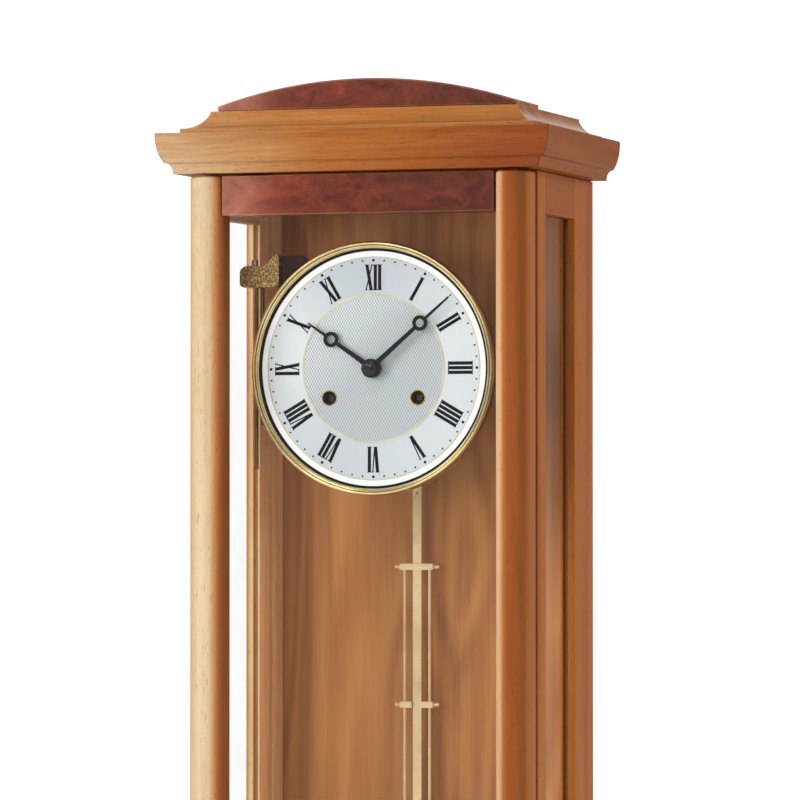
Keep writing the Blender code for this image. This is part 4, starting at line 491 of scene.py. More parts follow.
# %% [markdown]
# ## Metals
# One function makes them all: polished gilt, satin brass and a paler one for the pendulum, bronze, and
# steel that is bright, browned or oiled. Black enamel, ink and pale printed gold are paints, made the same
# way with little or no metal in them. Each has fine scratches in its roughness, and a brush direction draws
# them out.


# %% Metal finishes
BRUSH_DEPTH = 0.00002
EVEN = (1.0, 1.0, 1.0)


def metal(name, tint, rough, brush=EVEN, scale=500.0, spread=0.12, metallic=1.0, shine=0.5, cut=0.35):
    made = Finish(name, Metallic=metallic, Specular_IOR_Level=shine)
    lines = made.clouds(made.place(scale=brush), scale, 3.0, 0.6)
    haze = made.clouds(made.place(), 45.0, 3.0)
    dull = tuple(channel * 0.78 for channel in tint)
    made.colour(made.blend(made.step(haze, 0.35, 0.75), (*tint, 1.0), (*dull, 1.0)))
    made.roughness(rough + lines * spread + haze * 0.05)
    made.relief(lines, BRUSH_DEPTH, cut)
    return made.material


gilt = metal("polished_gilt", rgb(234, 206, 142), 0.18, scale=900.0, spread=0.08, cut=0.06)
brass = metal("satin_brass", rgb(214, 178, 104), 0.26, (1.0, 1.0, 0.08))
pale_brass = metal("pendulum_brass", rgb(240, 213, 164), 0.36, (1.0, 1.0, 0.05), metallic=0.55)
steel = metal("bright_steel", rgb(190, 190, 188), 0.24, (0.08, 1.0, 1.0))
bronze = metal("drawn_bronze", rgb(152, 120, 82), 0.28, (1.0, 1.0, 0.05))
black_steel = metal("browned_steel", rgb(62, 40, 30), 0.45, spread=0.2, metallic=0.5, shine=0.2)
enamel = metal("black_enamel", rgb(10, 10, 10), 0.30, spread=0.02, metallic=0.0, shine=0.2, cut=0.02)
polished = metal("polished_enamel", rgb(10, 10, 10), 0.14, spread=0.02, metallic=0.0, shine=0.45, cut=0.0)
ink = metal("printing_ink", rgb(8, 8, 9), 0.6, scale=700.0, spread=0.1, metallic=0.0, shine=0.06)
dark_steel = metal("oiled_steel", rgb(78, 70, 62), 0.30, (0.08, 1.0, 1.0))
print_gold = metal("printed_gold", rgb(206, 202, 172), 0.45, scale=700.0, metallic=0.25)
metals = (gilt, brass, pale_brass, steel, bronze, black_steel, dark_steel)
paints = (enamel, polished, ink, print_gold)
print("metals:", [item.name for item in metals], "paints:", [item.name for item in paints])

# %% [markdown]
# ## Cast bronze
# The gong block is a rough sand casting under gold bronze paint: pits and grains a millimetre across, dark
# in the hollows and bright on the tips. A cell texture and a noise share the work.


# %% Casting finish
def rough_casting():
    cast = Finish("rough_bronze_casting", Metallic=0.75, Specular_IOR_Level=0.5)
    spot = cast.place()
    grain = cast.clouds(spot, 700.0, 3.0, 0.7)
    pit = cast.node("ShaderNodeTexVoronoi", None, {"Vector": spot, "Scale": 800.0}, output="Distance")
    height = grain * 0.7 + pit * 0.5
    stops = ((0.38, rgb(92, 66, 30)), (0.58, rgb(176, 139, 77)), (0.76, rgb(240, 213, 150)))
    cast.colour(cast.ramp(height, *stops))
    cast.roughness(0.36 + grain * 0.3)
    cast.relief(height, 0.0004, 0.8)
    return cast.material


casting = rough_casting()
print("casting:", casting.name)

# %% [markdown]
# ## The dial's print
# The dial plate is one flat disc with three zones: a white outer margin, a silvered chapter ring whose round
# brushing is painted in as soft light and dark wedges of sheen, and a centre with a woven line pattern,
# painted lighter on one side of a diagonal as a sheen. All three are drawn from the distance and the angle
# to the middle of the dial, so no pictures are needed.

# %% Dial finish
CENTRE_DISC = 0.0531
CHAPTER_EDGE = 0.0800
ZONE_BLUR = 0.0002
WEAVE_PITCH = 0.0018
WEAVE_WAVES = math.tau / WEAVE_PITCH
WEAVE_SHADE = rgb(140, 147, 153)


def dial_print():
    dial = Finish("silvered_dial", Specular_IOR_Level=0.5)
    x, z = dial.across_and_up()
    radius = dial.math("SQRT", x * x + z * z)
    angle = dial.math("ARCTAN2", x, z)
    # Painted sheen: light and dark wedges around the ring stand in for the shine of the round brushing.
    painted_shine_wedge = dial.math("COSINE", angle * 2.0 - 0.15) * 0.5 + dial.math("COSINE", angle * 3.0 + 0.9) * 0.28
    turning = dial.clouds(dial.node("ShaderNodeCombineXYZ", None, {"X": radius * 40.0}), 90.0, 2.0)
    silver = dial.ramp(painted_shine_wedge * 0.5 + 0.5, (0.1, rgb(211, 215, 218)), (0.9, rgb(184, 190, 197)))
    falling = dial.math("SINE", (x * 0.87 + z * 0.5) * WEAVE_WAVES)
    rising = dial.math("SINE", (x * 0.87 - z * 0.5) * WEAVE_WAVES)
    weave = falling * 0.62 + rising * 0.38
    cloth = weave * 0.5 + 0.5
    # Painted sheen: the woven centre is lighter on one side of a diagonal line.
    painted_sheen_side = dial.step(x * 0.9 - z + dial.clouds(dial.place(), 14.0, 1.0) * 0.03, -0.06, 0.07)
    sheen = ((0.0, rgb(228, 232, 234)), (0.55, rgb(202, 206, 209)), (1.0, rgb(203, 207, 210)))
    centre = dial.blend(cloth, dial.ramp(painted_sheen_side, *sheen), (*WEAVE_SHADE, 1.0))
    inside = 1.0 - dial.step(radius, CENTRE_DISC - ZONE_BLUR, CENTRE_DISC + ZONE_BLUR)
    outside = dial.step(radius, CHAPTER_EDGE - ZONE_BLUR, CHAPTER_EDGE + ZONE_BLUR)
    face = dial.blend(inside, silver, centre)
    dial.colour(dial.blend(outside, face, (*rgb(236, 238, 240), 1.0)))
    dial.roughness(0.38 + turning * 0.1 - inside * 0.05)
    dial.feed(dial.shader.inputs["Metallic"], inside * 0.08 + 0.08)
    dial.relief(weave * inside, 0.00008, 0.6)
    return dial.material


dial_face = dial_print()
print("dial print:", dial_face.name)

# %% [markdown]
# ## Tools for pieces
# A piece is drawn in bmesh, turned into a mesh, and told which body of the clock it rides on. Where it
# stands for a piece of the solid model, its body comes from there. Rounded edges catch the light, so many
# pieces start as a copy of the solid, welded and then bevelled; the new faces are marked, so a finish can
# wear them.


# %% Piece tools
def publish(name, shape, finish, body, replaced=(), sharp=35.0, even=False):
    """Turn a bmesh into a piece that rides on a body of the clock."""
    bmesh.ops.recalc_face_normals(shape, faces=shape.faces)
    mesh = bpy.data.meshes.new(name)
    shape.to_mesh(mesh)
    shape.free()
    mesh.shade_smooth()
    mesh.set_sharp_from_angle(angle=math.radians(sharp))
    mesh.materials.append(finish)
    piece = bpy.data.objects.new(name, mesh)
    bpy.context.scene.collection.objects.link(piece)
    if even:
        piece.modifiers.new("even_shading", "WEIGHTED_NORMAL").keep_sharp = True
    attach(piece, body)
    if replaced:
        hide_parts(*replaced)
    print(name, "faces:", len(mesh.polygons))


def stand_in(node, shape, finish, sharp=35.0, even=False):
    """Publish a shape in the place of one node of the solid model."""
    body = nodes[node]["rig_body"]
    publish("fine_" + node, shape, finish, body, [node], sharp, even)


def dress(node, finish):
    """Give a node of the solid model, kept as it is, a finish."""
    nodes[node].data.materials.clear()
    nodes[node].data.materials.append(finish)


def welded(node):
    """A copy of a node's mesh whose loose triangles are joined into whole faces."""
    shape = bmesh.new()
    shape.from_mesh(nodes[node].data)
    bmesh.ops.remove_doubles(shape, verts=shape.verts, dist=2e-6)
    bmesh.ops.dissolve_limit(shape, angle_limit=math.radians(0.5), verts=shape.verts, edges=shape.edges)
    return shape


def ease(shape, width, segments=3, least=40.0):
    """Round the edges that are sharper than an angle, and mark the new faces."""
    worn = shape.faces.layers.float.new("worn_edge")
    limit = math.radians(least)
    sharp = [edge for edge in shape.edges if edge.is_manifold and edge.calc_face_angle() > limit]
    settings = {"offset": width, "offset_type": "OFFSET", "segments": segments, "profile": 0.5}
    made = bmesh.ops.bevel(shape, geom=sharp, affect="EDGES", clamp_overlap=True, material=-1, **settings)
    for face in made["faces"]:
        face[worn] = 1.0
    return shape


def eased(node, finish, width, segments=3):
    """Stand in for a node with a copy whose edges are rounded."""
    stand_in(node, ease(welded(node), width, segments), finish, even=True)


def bridged(loops, shape=None):
    """Join closed loops of points in order, and close both ends, in a new bmesh or one that is given."""
    shape = shape or bmesh.new()
    rims = [[shape.verts.new(point) for point in loop] for loop in loops]
    for near, far in zip(rims, rims[1:]):
        for index in range(len(near)):
            after = (index + 1) % len(near)
            shape.faces.new((near[index], near[after], far[after], far[index]))
    shape.faces.new(list(reversed(rims[0])))
    shape.faces.new(rims[-1])
    return shape


def turned(profile, steps, centre=(0.0, 0.0), closed=True):
    """Spin a profile of (radius, depth) round an axis that runs front to back."""
    shape = bmesh.new()
    rim = [shape.verts.new((centre[0] + radius, depth, centre[1])) for radius, depth in profile]
    edges = [shape.edges.new(pair) for pair in zip(rim, rim[1:])]
    if closed:
        edges.append(shape.edges.new((rim[-1], rim[0])))
    middle = (centre[0], 0.0, centre[1])
    bmesh.ops.spin(
        shape, geom=rim + edges, cent=middle, axis=(0, 1, 0), angle=math.tau, steps=steps, use_merge=True
    )
    bmesh.ops.remove_doubles(shape, verts=shape.verts, dist=1e-7)
    return shape


def arc(start, end, first, last, steps):
    """Points on a stretched arc from start to end; the angles, in degrees, say which part of a round."""
    first, last = math.radians(first), math.radians(last)
    points = []
    for step in range(steps + 1):
        angle = first + (last - first) * step / steps
        across = (math.sin(angle) - math.sin(first)) / (math.sin(last) - math.sin(first))
        rise = (math.cos(angle) - math.cos(first)) / (math.cos(last) - math.cos(first))
        points.append((start[0] + (end[0] - start[0]) * across, start[1] + (end[1] - start[1]) * rise))
    return points


print("piece tools ready")

# %% [markdown]
# ## The door's pillars
# Each upright of the door is a half-round pillar, turned on one side and flat behind. The outline is drawn
# once, seen from above, with a fine arc, and pulled up between the two levels that the solid gives. The top
# and bottom edges are eased a little, as sanding leaves them.

# %% Pillars
PILLAR_ARC_STEPS = 40
PILLAR_EASE = 0.0012


def pillar(node, side):
    low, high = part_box(node)
    radius = (high.x - low.x) / 2
    middle = (high.x + low.x) / 2
    outline = [(middle + side * radius, high.y)]
    for step in range(PILLAR_ARC_STEPS + 1):
        angle = math.pi * step / PILLAR_ARC_STEPS
        outline.append((middle + side * radius * math.cos(angle), low.y + radius - radius * math.sin(angle)))
    outline.append((middle - side * radius, high.y))
    levels = ((PILLAR_EASE, low.z), (0.0, low.z + PILLAR_EASE))
    levels += ((0.0, high.z - PILLAR_EASE), (PILLAR_EASE, high.z))
    loops = []
    for inset, z in levels:
        share = 1 - inset / radius
        loops.append([(middle + (x - middle) * share, high.y + (y - high.y) * share, z) for x, y in outline])
    stand_in(node, bridged(loops), cherry_pillar)


pillar("door_left_stile", -1)
pillar("door_right_stile", 1)

# %% [markdown]
# ## The door's rails
# Between the pillars run two burl rails with softly rounded edges. Their lower and upper edges are worn
# pale, so a wide bevel with several segments pays off here.

# %% Rails and fittings of the door
RAIL_EASE = 0.0021
SHEET_EASE = 0.0002
eased("door_top_rail", burl, RAIL_EASE, 5)
eased("door_bottom_rail", burl, RAIL_EASE, 5)
eased("door_strike_plate", steel, SHEET_EASE, 2)
dress("door_glass", glass)

# %% [markdown]
# ## The crown
# The crown is a moulding with a small cove below and a long, nearly upright ovolo above, in three lengths
# that meet in mitres. One section serves all three: for the front length both ends are cut at 45 degrees,
# and for the sides the rear end is square against the wall.

# %% Crown mouldings
CROWN_FOOT = 0.0012
CROWN_COVE = (0.0050, 0.0065)
CROWN_OVOLO = (0.0052, 0.0195)
CROWN_EDGE = 0.0016
CROWN_BACKING = 0.008
MITRE_GAP = 0.0003
EDGE_EASE = 0.0005


def crown_section():
    cove_top = CROWN_FOOT + CROWN_COVE[1]
    run = CROWN_COVE[0] + CROWN_OVOLO[0]
    ovolo_top = cove_top + CROWN_OVOLO[1]
    section = [(0.0, 0.0)]
    section += arc((0.0, CROWN_FOOT), (CROWN_COVE[0], cove_top), 90, 180, 12)
    section += arc((CROWN_COVE[0], cove_top), (run, ovolo_top), 35, 90, 18)[1:]
    edge = ovolo_top + CROWN_EDGE
    section += arc((run, edge - EDGE_EASE), (run - EDGE_EASE, edge), 90, 0, 4)
    return section + [(-CROWN_BACKING, edge), (-CROWN_BACKING, 0.0)]


def crown():
    low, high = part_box("crown_front_moulding")
    run = CROWN_COVE[0] + CROWN_OVOLO[0]
    half = high.x - run
    front = -low.y - run
    section = crown_section()
    ends = []
    for side in (-1, 1):
        ends.append([(side * (half + u), -front - u, low.z + v) for u, v in section])
    stand_in("crown_front_moulding", bridged(ends), cherry_crown, sharp=28.0)
    half += MITRE_GAP
    for label, side in (("left", -1), ("right", 1)):
        mitre = [(side * (half + u), -front - u + MITRE_GAP, low.z + v) for u, v in section]
        wall = [(side * (half + u), 0.0, low.z + v) for u, v in section]
        stand_in(f"crown_{label}_moulding", bridged([mitre, wall]), cherry_deep, sharp=28.0)


crown()

# %% [markdown]
# ## Cap and base
# A slab with a moulded edge on three sides is a stack of rectangles that step in or out while they rise.
# The cap on the crown sweeps in with a hollow curve, the base board is rounded, and the plinth under it is
# hollow again.

# %% Cap, base board and plinth
CAP_FILLET = 0.0036
CAP_EDGE = 0.002
CAP_COVE_RUN = 0.017
BASE_ROUND = 0.004
PLINTH_INSET = 0.004
PLINTH_EDGE = 0.0022
PLINTH_COVE_RUN = 0.012


def slab(node, levels, finish):
    """Rectangles flush with the wall, each stepped in from the widest outline by an inset."""
    low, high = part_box(node)
    widest = min(inset for inset, z in levels)
    loops = []
    for inset, z in levels:
        x = high.x - inset + widest
        y = low.y + inset - widest
        loops.append([(-x, y, z), (x, y, z), (x, 0.0, z), (-x, 0.0, z)])
    stand_in(node, bridged(loops), finish, sharp=28.0)


low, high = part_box("crown_cap")
cove = arc((0.0, low.z + CAP_FILLET), (CAP_COVE_RUN, high.z - CAP_EDGE), 0, 60, 16)
soft = arc((EDGE_EASE, low.z), (0.0, low.z + EDGE_EASE), 0, 90, 3)
crest = arc((CAP_COVE_RUN, high.z - EDGE_EASE), (CAP_COVE_RUN + EDGE_EASE, high.z), 90, 180, 3)
slab("crown_cap", soft + cove + crest, cherry_wide)

low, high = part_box("base_board")
rounds = arc((BASE_ROUND, low.z), (0.0, low.z + BASE_ROUND), 0, 90, 10)
rounds += arc((0.0, high.z - BASE_ROUND), (BASE_ROUND, high.z), 90, 180, 10)
slab("base_board", rounds, cherry_wide)

low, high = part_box("base_plinth")
foot = PLINTH_INSET + PLINTH_COVE_RUN
hollow = [(PLINTH_INSET, high.z)]
hollow += arc((PLINTH_INSET, high.z - PLINTH_EDGE), (foot, low.z + PLINTH_EDGE), 0, 60, 14)
slab("base_plinth", hollow + [(foot, low.z)], cherry_wide)

# %% [markdown]
# ## The pediment
# On the cap stands a low arched block with a burl face. The solid model has the arch already, so the copy
# only needs its front edges rounded.

# %% Pediment
FACE_EASE = 0.0012
BLOCK_EASE = 0.0006
BOARD_EASE = 0.0004
eased("pediment_face", burl, FACE_EASE, 4)
eased("pediment_block", cherry_wide, BLOCK_EASE)
eased("crown_board", cherry_deep, BOARD_EASE)

# %% [markdown]
# ## The case
# Stiles and rails of the two sides are cherry, with grooves for the side glass. They keep their shape, with
# a rounded edge a little under a millimetre wide. Panes and back sheet are flat, so they only take a
# finish.

# %% Sides and back
CASE_EASE = 0.0008
MAGNET_EASE = 0.0006
PIN_EASE = 0.0003
for side in ("left", "right"):
    for stile in ("front", "rear"):
        eased(f"{side}_{stile}_stile", cherry_up, CASE_EASE)
    for rail in ("top", "bottom"):
        eased(f"{side}_{rail}_rail", cherry_deep, CASE_EASE)
    dress(f"{side}_side_glass", side_glass)
dress("back_panel", veneer)
eased("hanger_plate", steel, SHEET_EASE, 2)
eased("door_magnet", black_steel, MAGNET_EASE)
for pin in ("door_top_pivot_pin", "door_bottom_pivot_pin"):
    eased(pin, dark_steel, PIN_EASE, 2)

# %% [markdown]
# ## The bezel
# The dial is framed by a polished ring with two rounds and a fine groove between them. Its section is spun
# in many steps, because a polished ring shows every corner. Tarnish has gathered in the groove, and a darker
# band of painted shade runs along the outer edge. A thin black ring just inside it is painted shadow,
# standing for the dark gap between bezel and dial.

# %% Bezel and black ring
BEZEL_STEPS = 160
BEZEL_LIP = 0.0863
BEZEL_BEAD = 0.0022
BEZEL_GROOVE = 0.0008
BEZEL_WALL = 0.0014
SEAT_GAP = 0.0003
# Painted shadow: a thin black ring stands for the dark gap between bezel and dial.
GAP_SHADOW_RING = (0.0845, 0.0862)
GAP_SHADOW_HEIGHT = 0.0007
DIAL_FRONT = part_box("dial_plate")[0].y
BEZEL_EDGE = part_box("bezel")[1].x
TARNISH_AND_SHADE = rgb(104, 80, 38)
TARNISH_AND_SHADE_WIDTH = 0.0006


def gilded_ring():
    """Polished gilding with tarnish in the groove and a painted shade along the outer edge."""
    ring = Finish("gilded_ring", Metallic=1.0)
    x, z = ring.across_and_up()
    radius = ring.math("SQRT", x * x + z * z)
    from_groove = ring.math("ABSOLUTE", radius - (BEZEL_LIP + BEZEL_BEAD))
    groove = 1.0 - ring.step(from_groove, TARNISH_AND_SHADE_WIDTH * 0.3, TARNISH_AND_SHADE_WIDTH)
    # Painted shade: a darker band along the outer edge of the ring.
    rim = ring.step(radius, BEZEL_EDGE - TARNISH_AND_SHADE_WIDTH, BEZEL_EDGE)
    haze = ring.clouds(ring.place(), 60.0, 3.0)
    gilding = ring.ramp(haze, (0.35, rgb(252, 228, 164)), (0.70, rgb(230, 200, 134)))
    ring.colour(ring.blend(groove * 0.75 + rim * 0.7, gilding, (*TARNISH_AND_SHADE, 1.0)))
    ring.roughness(haze * 0.10 + 0.13)
    return ring.material


def bezel():
    low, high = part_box("bezel")
    bead = BEZEL_LIP + BEZEL_BEAD
    crown_radius = (bead + BEZEL_EDGE) / 2
    inside_wall = BEZEL_EDGE - BEZEL_WALL
    seat = DIAL_FRONT - SEAT_GAP
    inner_crest = low.y + BEZEL_GROOVE
    profile = [(BEZEL_LIP, seat)]
    profile += arc((BEZEL_LIP, seat - BEZEL_GROOVE), (bead, inner_crest), 90, 180, 8)
    profile += arc((bead, inner_crest + BEZEL_GROOVE), (crown_radius, low.y), 90, 180, 8)
    profile += arc((crown_radius, low.y), (BEZEL_EDGE, low.y + BEZEL_BEAD), 0, 90, 8)[1:]
    profile += [(BEZEL_EDGE, high.y), (inside_wall, high.y), (inside_wall, seat)]
    stand_in("bezel", turned(profile, BEZEL_STEPS), gilded_ring(), sharp=40.0)


def flat_ring(name, inner, outer, height, finish, slot, steps=120):
    """A thin rounded ring that lies on the dial."""
    front = DIAL_FRONT - height
    edge = (outer - inner) * 0.2
    shoulder = front + height * 0.4
    profile = [(inner, DIAL_FRONT), (inner, shoulder), (inner + edge, front), (outer - edge, front)]
    profile += [(outer, shoulder), (outer, DIAL_FRONT)]
    publish(name, turned(profile, steps), finish, "case", sharp=50.0)


bezel()
# The black ring on the dial is painted shadow for the gap under the bezel.
flat_ring("painted_gap_shadow_ring", *GAP_SHADOW_RING, GAP_SHADOW_HEIGHT, ink, "hand_black", steps=BEZEL_STEPS)

# %% [markdown]
# ## Lines and numerals
# Two pale gold lines border the chapter ring. The numerals stand with their heads outward: each is a row of
# strokes, drawn upright and then turned to its hour. Thick and thin strokes with fine serifs at their ends
# make the style. The four is four bars, as clock dials have it.

# %% Lines and numerals
NUMERALS = ("XII", "I", "II", "III", "IIII", "V", "VI", "VII", "VIII", "IX", "X", "XI")
NUMERAL_FOOT = 0.0562
NUMERAL_HEIGHT = 0.0185
THICK = 0.0024
THIN = 0.0009
SERIF = 0.0006
SERIF_REACH = 0.00045
ADVANCE = {"I": 0.0033, "V": 0.0060, "X": 0.0062}
PRINT_HEIGHT = 0.00006
CENTRE_LINE = (0.0523, 0.0539)
CENTRE_LINE_HEIGHT = 0.00020
CHAPTER_LINE = (0.0794, 0.0805)
CHAPTER_LINE_HEIGHT = 0.00015


def slanted(top, foot, width):
    """A stroke from the head of a letter to its foot, as four corners."""
    half = width / 2
    head = [(top - half, NUMERAL_HEIGHT), (top + half, NUMERAL_HEIGHT)]
    return head + [(foot + half, 0.0), (foot - half, 0.0)]


def serif(middle, width, low):
    """A fine line across one end of a stroke, as four corners."""
    half = width / 2 + SERIF_REACH
    left, right, high = middle - half, middle + half, low + SERIF
    return [(left, high), (right, high), (right, low), (left, low)]


def letter_strokes(letter, left):
    """The strokes of one letter, with serifs at their ends; the foot of the V is a bare point."""
    width = ADVANCE[letter]
    middle = left + width / 2
    near, far = left + THICK * 0.6, left + width - THIN
    lines = {
        "I": [(middle, middle, THICK)],
        "V": [(near, middle, THICK), (far, middle + THICK * 0.3, THIN)],
        "X": [(near, left + width - THICK * 0.6, THICK), (far, left + THIN, THIN)],
    }
    strokes = []
    for head, foot, thickness in lines[letter]:
        strokes.append(slanted(head, foot, thickness))
        strokes.append(serif(head, thickness, NUMERAL_HEIGHT - SERIF))
        if letter != "V":
            strokes.append(serif(foot, thickness, 0.0))
    return strokes


def numeral_strokes(text):
    """All strokes of one numeral, centred."""
    left = -sum(ADVANCE[letter] for letter in text) / 2
    strokes = []
    for letter in text:
        strokes += letter_strokes(letter, left)
        left += ADVANCE[letter]
    return strokes


def print_on_dial(shape, outline, angle, radius):
    """Raise an outline from the dial, turned clockwise by an angle and moved out by a radius."""
    corners = []
    for across, out in outline:
        x = across * math.cos(angle) + (out + radius) * math.sin(angle)
        z = -across * math.sin(angle) + (out + radius) * math.cos(angle)
        corners.append(shape.verts.new((x, DIAL_FRONT, z)))
    face = shape.faces.new(corners)
    grown = bmesh.ops.extrude_face_region(shape, geom=[face])["geom"]
    moved = [item for item in grown if isinstance(item, bmesh.types.BMVert)]
    bmesh.ops.translate(shape, verts=moved, vec=(0.0, -PRINT_HEIGHT, 0.0))


def numerals():
    shape = bmesh.new()
    for hour, text in enumerate(NUMERALS):
        for outline in numeral_strokes(text):
            print_on_dial(shape, outline, math.tau * hour / len(NUMERALS), NUMERAL_FOOT)
    publish("chapter_numerals", shape, ink, "case")


flat_ring("gold_centre_line", *CENTRE_LINE, CENTRE_LINE_HEIGHT, print_gold, "gilt")
flat_ring("gold_chapter_line", *CHAPTER_LINE, CHAPTER_LINE_HEIGHT, print_gold, "gilt")
numerals()

# %% [markdown]
# ## Minute dots and eyelets
# Sixty black dots count the minutes, every fifth one larger. The two winding holes are lined with brass
# eyelets, which from the side show as a thin crescent: spun tubes with a rolled rim that just covers the
# edge of the hole.

# %% Dots and eyelets
MINUTES = 60
DOT_CIRCLE = 0.0778
DOT_RADIUS = 0.0007
BIG_DOT_RADIUS = 0.00105
DOT_CORNERS = 14
WINDING_HOLE = 0.0057
EYELET_STEPS = 40
EYELET_WALL = 0.0005
EYELET_RIM = 0.0002
EYELET_DEPTH = 0.0042


def minute_dots():
    shape = bmesh.new()
    for minute in range(MINUTES):
        radius = DOT_RADIUS if minute % 5 else BIG_DOT_RADIUS
        turns = [math.tau * step / DOT_CORNERS for step in range(DOT_CORNERS)]
        outline = [(radius * math.cos(turn), radius * math.sin(turn)) for turn in turns]
        print_on_dial(shape, outline, math.tau * minute / MINUTES, DOT_CIRCLE)
    publish("minute_dots", shape, ink, "case")


def eyelet(label, node):
    low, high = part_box(node)
    centre = ((low.x + high.x) / 2, (low.z + high.z) / 2)
    outside = WINDING_HOLE - EYELET_RIM
    inside = outside - EYELET_WALL
    crest = DIAL_FRONT - EYELET_RIM
    back = DIAL_FRONT + EYELET_DEPTH
    profile = [(inside, back)]
    profile += arc((inside, DIAL_FRONT), (outside, crest), 90, 180, 5)
    profile += arc((outside, crest), (WINDING_HOLE + EYELET_RIM, DIAL_FRONT), 0, 90, 5)[1:]
    profile += [(outside, DIAL_FRONT), (outside, back)]
    tube = turned(profile, EYELET_STEPS, centre)
    publish(f"{label}_winding_eyelet", tube, brass, "case", sharp=50.0)


minute_dots()
eyelet("time", "time_winding_arbor")
eyelet("strike", "strike_winding_arbor")

# %% [markdown]
# ## Hands and dial
# The hands are stamped from steel and enamelled black, with soft edges. They keep the shape of the solid.
# The nut that holds them is a polished, domed button. The dial plate itself takes the printed finish.

# %% Hands and dial
NUT_STEPS = 40
HAND_EASE = 0.00022
eased("hour_hand", enamel, HAND_EASE)
eased("minute_hand", enamel, HAND_EASE)
low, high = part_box("hand_nut")
dome = arc((0.0, low.y), (high.x, low.y + (high.y - low.y) * 0.7), 0, 90, 10)
stand_in("hand_nut", turned(dome + [(high.x, high.y), (0.0, high.y)], NUT_STEPS, closed=False), polished)
dress("dial_plate", dial_face)
stand_in("dial_pan", welded("dial_pan"), black_steel, sharp=30.0)

# %% [markdown]
# ## The movement
# Behind the dial sits a brass movement. Its wheels, barrels and arbors keep their solid shape: the copy is
# welded so that round sides shade smoothly while the teeth stay crisp. Plates get a small bevel, as stamped
# brass has.

# %% Movement
BARRELS = ("time_barrel", "strike_barrel")
WHEELS = BARRELS + ("centre_wheel", "third_wheel", "escape_wheel", "minute_wheel", "hour_wheel")
STEEL_PIECES = ("strike_wheel", "cannon_pinion", "anchor", "hammer", "suspension_spring")
OILED_PIECES = ("time_winding_arbor", "strike_winding_arbor")
GONG_RODS = ("gong_rod_low", "gong_rod_high")
FRAME_EASE = 0.00025
BRACKET_EASE = 0.0005
GROUPS = ((WHEELS, brass), (GONG_RODS, bronze), (STEEL_PIECES, steel), (OILED_PIECES, dark_steel))
for group, finish in GROUPS:
    for node in group:
        stand_in(node, welded(node), finish, sharp=30.0)
for node in ("front_plate", "back_plate"):
    eased(node, brass, FRAME_EASE, 2)
eased("movement_bracket", black_steel, BRACKET_EASE)

# %% [markdown]
# ## The gong block
# The strike's gong rods are held by a heavy casting with a sandy skin, and a dark plate ties it to the
# movement. The solid has both in one, so a plane cuts it in two. The casting is drawn anew as an outline
# with rounded ends, inside the room that its half takes; it is divided into many small faces and every
# point is pushed in or out by noise. The plate keeps the shape of its half, with soft edges.

# %% Gong block
CAST_WIDTH = 0.030
CAST_TOP = 0.0156
CAST_PEAK_RISE = (0.0176, 0.0270)
CAST_END_ROUND = 0.0058
CAST_SMALL_ROUND = 0.0032
CAST_EDGE = 0.0011
CAST_FACE = 0.0012
CAST_LUMPS = 0.00022
CAST_GRAIN = (500.0, 1200.0)
PLATE_EASE = 0.0006


def one_side(node, cut_x, keep):
    """The part of a node left (-1) or right (1) of an upright plane, closed where it was cut."""
    shape = welded(node)
    everything = shape.verts[:] + shape.edges[:] + shape.faces[:]
    settings = {"plane_co": (cut_x, 0.0, 0.0), "plane_no": (-keep, 0.0, 0.0)}
    bmesh.ops.bisect_plane(shape, geom=everything, clear_outer=True, **settings)
    bmesh.ops.holes_fill(shape, edges=[edge for edge in shape.edges if edge.is_boundary])
    return shape


def casting_outline(height):
    """The block seen from the front, from its lower left corner: round end, flat top, raised peak."""
    round_end, small = CAST_END_ROUND, CAST_SMALL_ROUND
    rise, peak = CAST_PEAK_RISE
    outline = arc((small, 0.0), (0.0, small), 0, 90, 5)
    outline += arc((0.0, CAST_TOP - round_end), (round_end, CAST_TOP), 90, 180, 7)
    outline += arc((rise, CAST_TOP), (peak, height), 10, 40, 6)
    outline += arc((peak, height), (CAST_WIDTH, height - small), 0, 90, 4)[1:]
    return outline + arc((CAST_WIDTH, small), (CAST_WIDTH - small, 0.0), 90, 180, 5)


def gong_block():
    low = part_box("gong_block")[0]
    cut_x = low.x + CAST_WIDTH
    solid = one_side("gong_block", cut_x, -1)
    left_end = [vert.co for vert in solid.verts if vert.co.x < low.x + CAST_WIDTH / 2]
    front, back = (pick(point.y for point in left_end) for pick in (min, max))
    foot = min(point.z for point in left_end)
    peak = max(vert.co.z for vert in solid.verts)
    solid.free()
    outline = casting_outline(peak - foot)
    sides = [[(low.x + u, y, foot + v) for u, v in outline] for y in (front, back)]
    shape = ease(bridged(sides), CAST_EDGE, 3)
    bmesh.ops.triangulate(shape, faces=shape.faces)
    for halving in range(4):
        wide = [edge for edge in shape.edges if edge.calc_length() > CAST_FACE]
        bmesh.ops.subdivide_edges(shape, edges=wide, cuts=1)
        bmesh.ops.triangulate(shape, faces=shape.faces)
    shape.normal_update()
    for vert in shape.verts:
        lump = sum(noise.noise(vert.co * grain) for grain in CAST_GRAIN)
        vert.co += vert.normal * lump * CAST_LUMPS
    stand_in("gong_block", shape, casting, sharp=80.0)
    plate = ease(one_side("gong_block", cut_x, 1), PLATE_EASE, 2)
    publish("gong_tie_plate", plate, black_steel, "case", even=True)
    print("casting from", round(front, 4), "to", round(back, 4), "and", round(foot, 4), "to", round(peak, 4))


gong_block()

# %% [markdown]
# ## Screws
# Small slotted screws hold gong block, hanger plate and front plate. One function makes a head: a low round
# disc with two half moons on it, so that the slot stays open between them. A rotation points it along its
# axis.

# %% Slotted screws
SCREW_CORNERS = 24


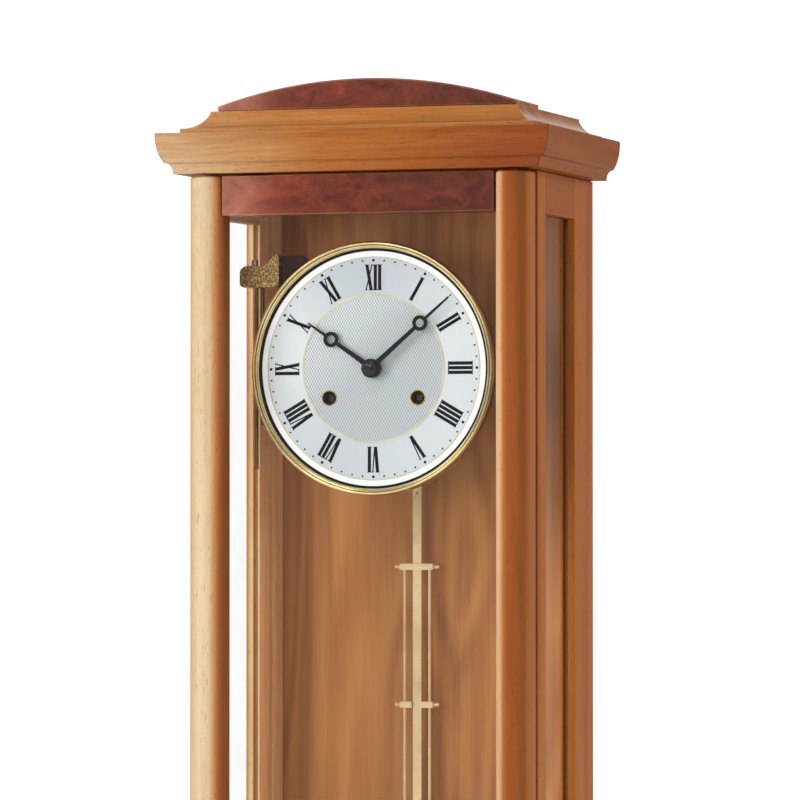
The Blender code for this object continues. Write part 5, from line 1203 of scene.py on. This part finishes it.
def screw_head(shape, place, direction, radius, height, slot=0.2):
    """Add one slotted head; the slot is a share of the radius wide."""
    turn = Vector((0.0, 0.0, 1.0)).rotation_difference(Vector(direction)).to_matrix().to_4x4()
    where = Matrix.Translation(place) @ turn
    gap = math.asin(slot)
    full = [math.tau * step / SCREW_CORNERS for step in range(SCREW_CORNERS)]
    steps = SCREW_CORNERS // 2
    moon = [gap + (math.pi - 2 * gap) * step / steps for step in range(steps + 1)]
    other_moon = [angle + math.pi for angle in moon]
    stacks = [(full, 0.0, height * 0.55, 1.0)]
    stacks += [(half, height * 0.5, height, 0.92) for half in (moon, other_moon)]
    for turns, low, high, crown_share in stacks:
        rims = []
        for level, wide in ((low, radius), (high, radius * crown_share)):
            rims.append([where @ Vector((wide * math.cos(a), wide * math.sin(a), level)) for a in turns])
        bridged(rims, shape)


def screws(name, heads):
    """Publish a set of steel heads that stay with the case."""
    shape = bmesh.new()
    for place, direction, radius, height in heads:
        screw_head(shape, place, direction, radius, height)
    publish(name, shape, steel, "case", sharp=30.0)


GONG_SCREW = {"from_left": 0.0085, "below_peak": 0.0078, "radius": 0.0026, "height": 0.0040}
HANGER_SCREW = {"inset": 0.0065, "radius": 0.0030, "height": 0.0010, "proud": 0.0002}
POST_SCREW = {"inset": 0.007, "radius": 0.0035, "height": 0.0018, "upper_x": 0.045, "lower_x": 0.008}

low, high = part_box("gong_block")
top = (low.x + GONG_SCREW["from_left"], (low.y + high.y) / 2, high.z - GONG_SCREW["below_peak"])
head = (top, (0.0, 0.0, 1.0), GONG_SCREW["radius"], GONG_SCREW["height"])
screws("gong_block_screw", [head])

low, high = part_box("hanger_plate")
inset = HANGER_SCREW["inset"]
seat = high.y + HANGER_SCREW["proud"] - HANGER_SCREW["height"]
corners = [(x, seat, z) for x in (low.x + inset, high.x - inset) for z in (low.z + inset, high.z - inset)]
size = (HANGER_SCREW["radius"], HANGER_SCREW["height"])
screws("hanger_screws", [(corner, (0.0, 1.0, 0.0), *size) for corner in corners])

low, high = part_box("front_plate")
inset = POST_SCREW["inset"]
rows = ((low.z + inset, POST_SCREW["lower_x"]), (high.z - inset, POST_SCREW["upper_x"]))
places = [(side * x, low.y, z) for z, x in rows for side in (-1, 1)]
size = (POST_SCREW["radius"], POST_SCREW["height"])
screws("plate_screws", [(place, (0.0, -1.0, 0.0), *size) for place in places])

# %% [markdown]
# ## The pendulum
# A flat strip hangs from the suspension spring and ends in a grid of rods with cross bars, the lens-shaped
# bob and the rating nut. The strip and the bars get rounded edges; the bob is welded for an even sheen.

# %% Pendulum
GRID_EASE = 0.0004
eased("pendulum_rod", pale_brass, SHEET_EASE, 2)
stand_in("pendulum_grid", ease(welded("pendulum_grid"), GRID_EASE, 2, least=60.0), pale_brass, even=True)
stand_in("pendulum_bob", welded("pendulum_bob"), gilt, sharp=30.0)
stand_in("rating_nut", welded("rating_nut"), brass, sharp=15.0)
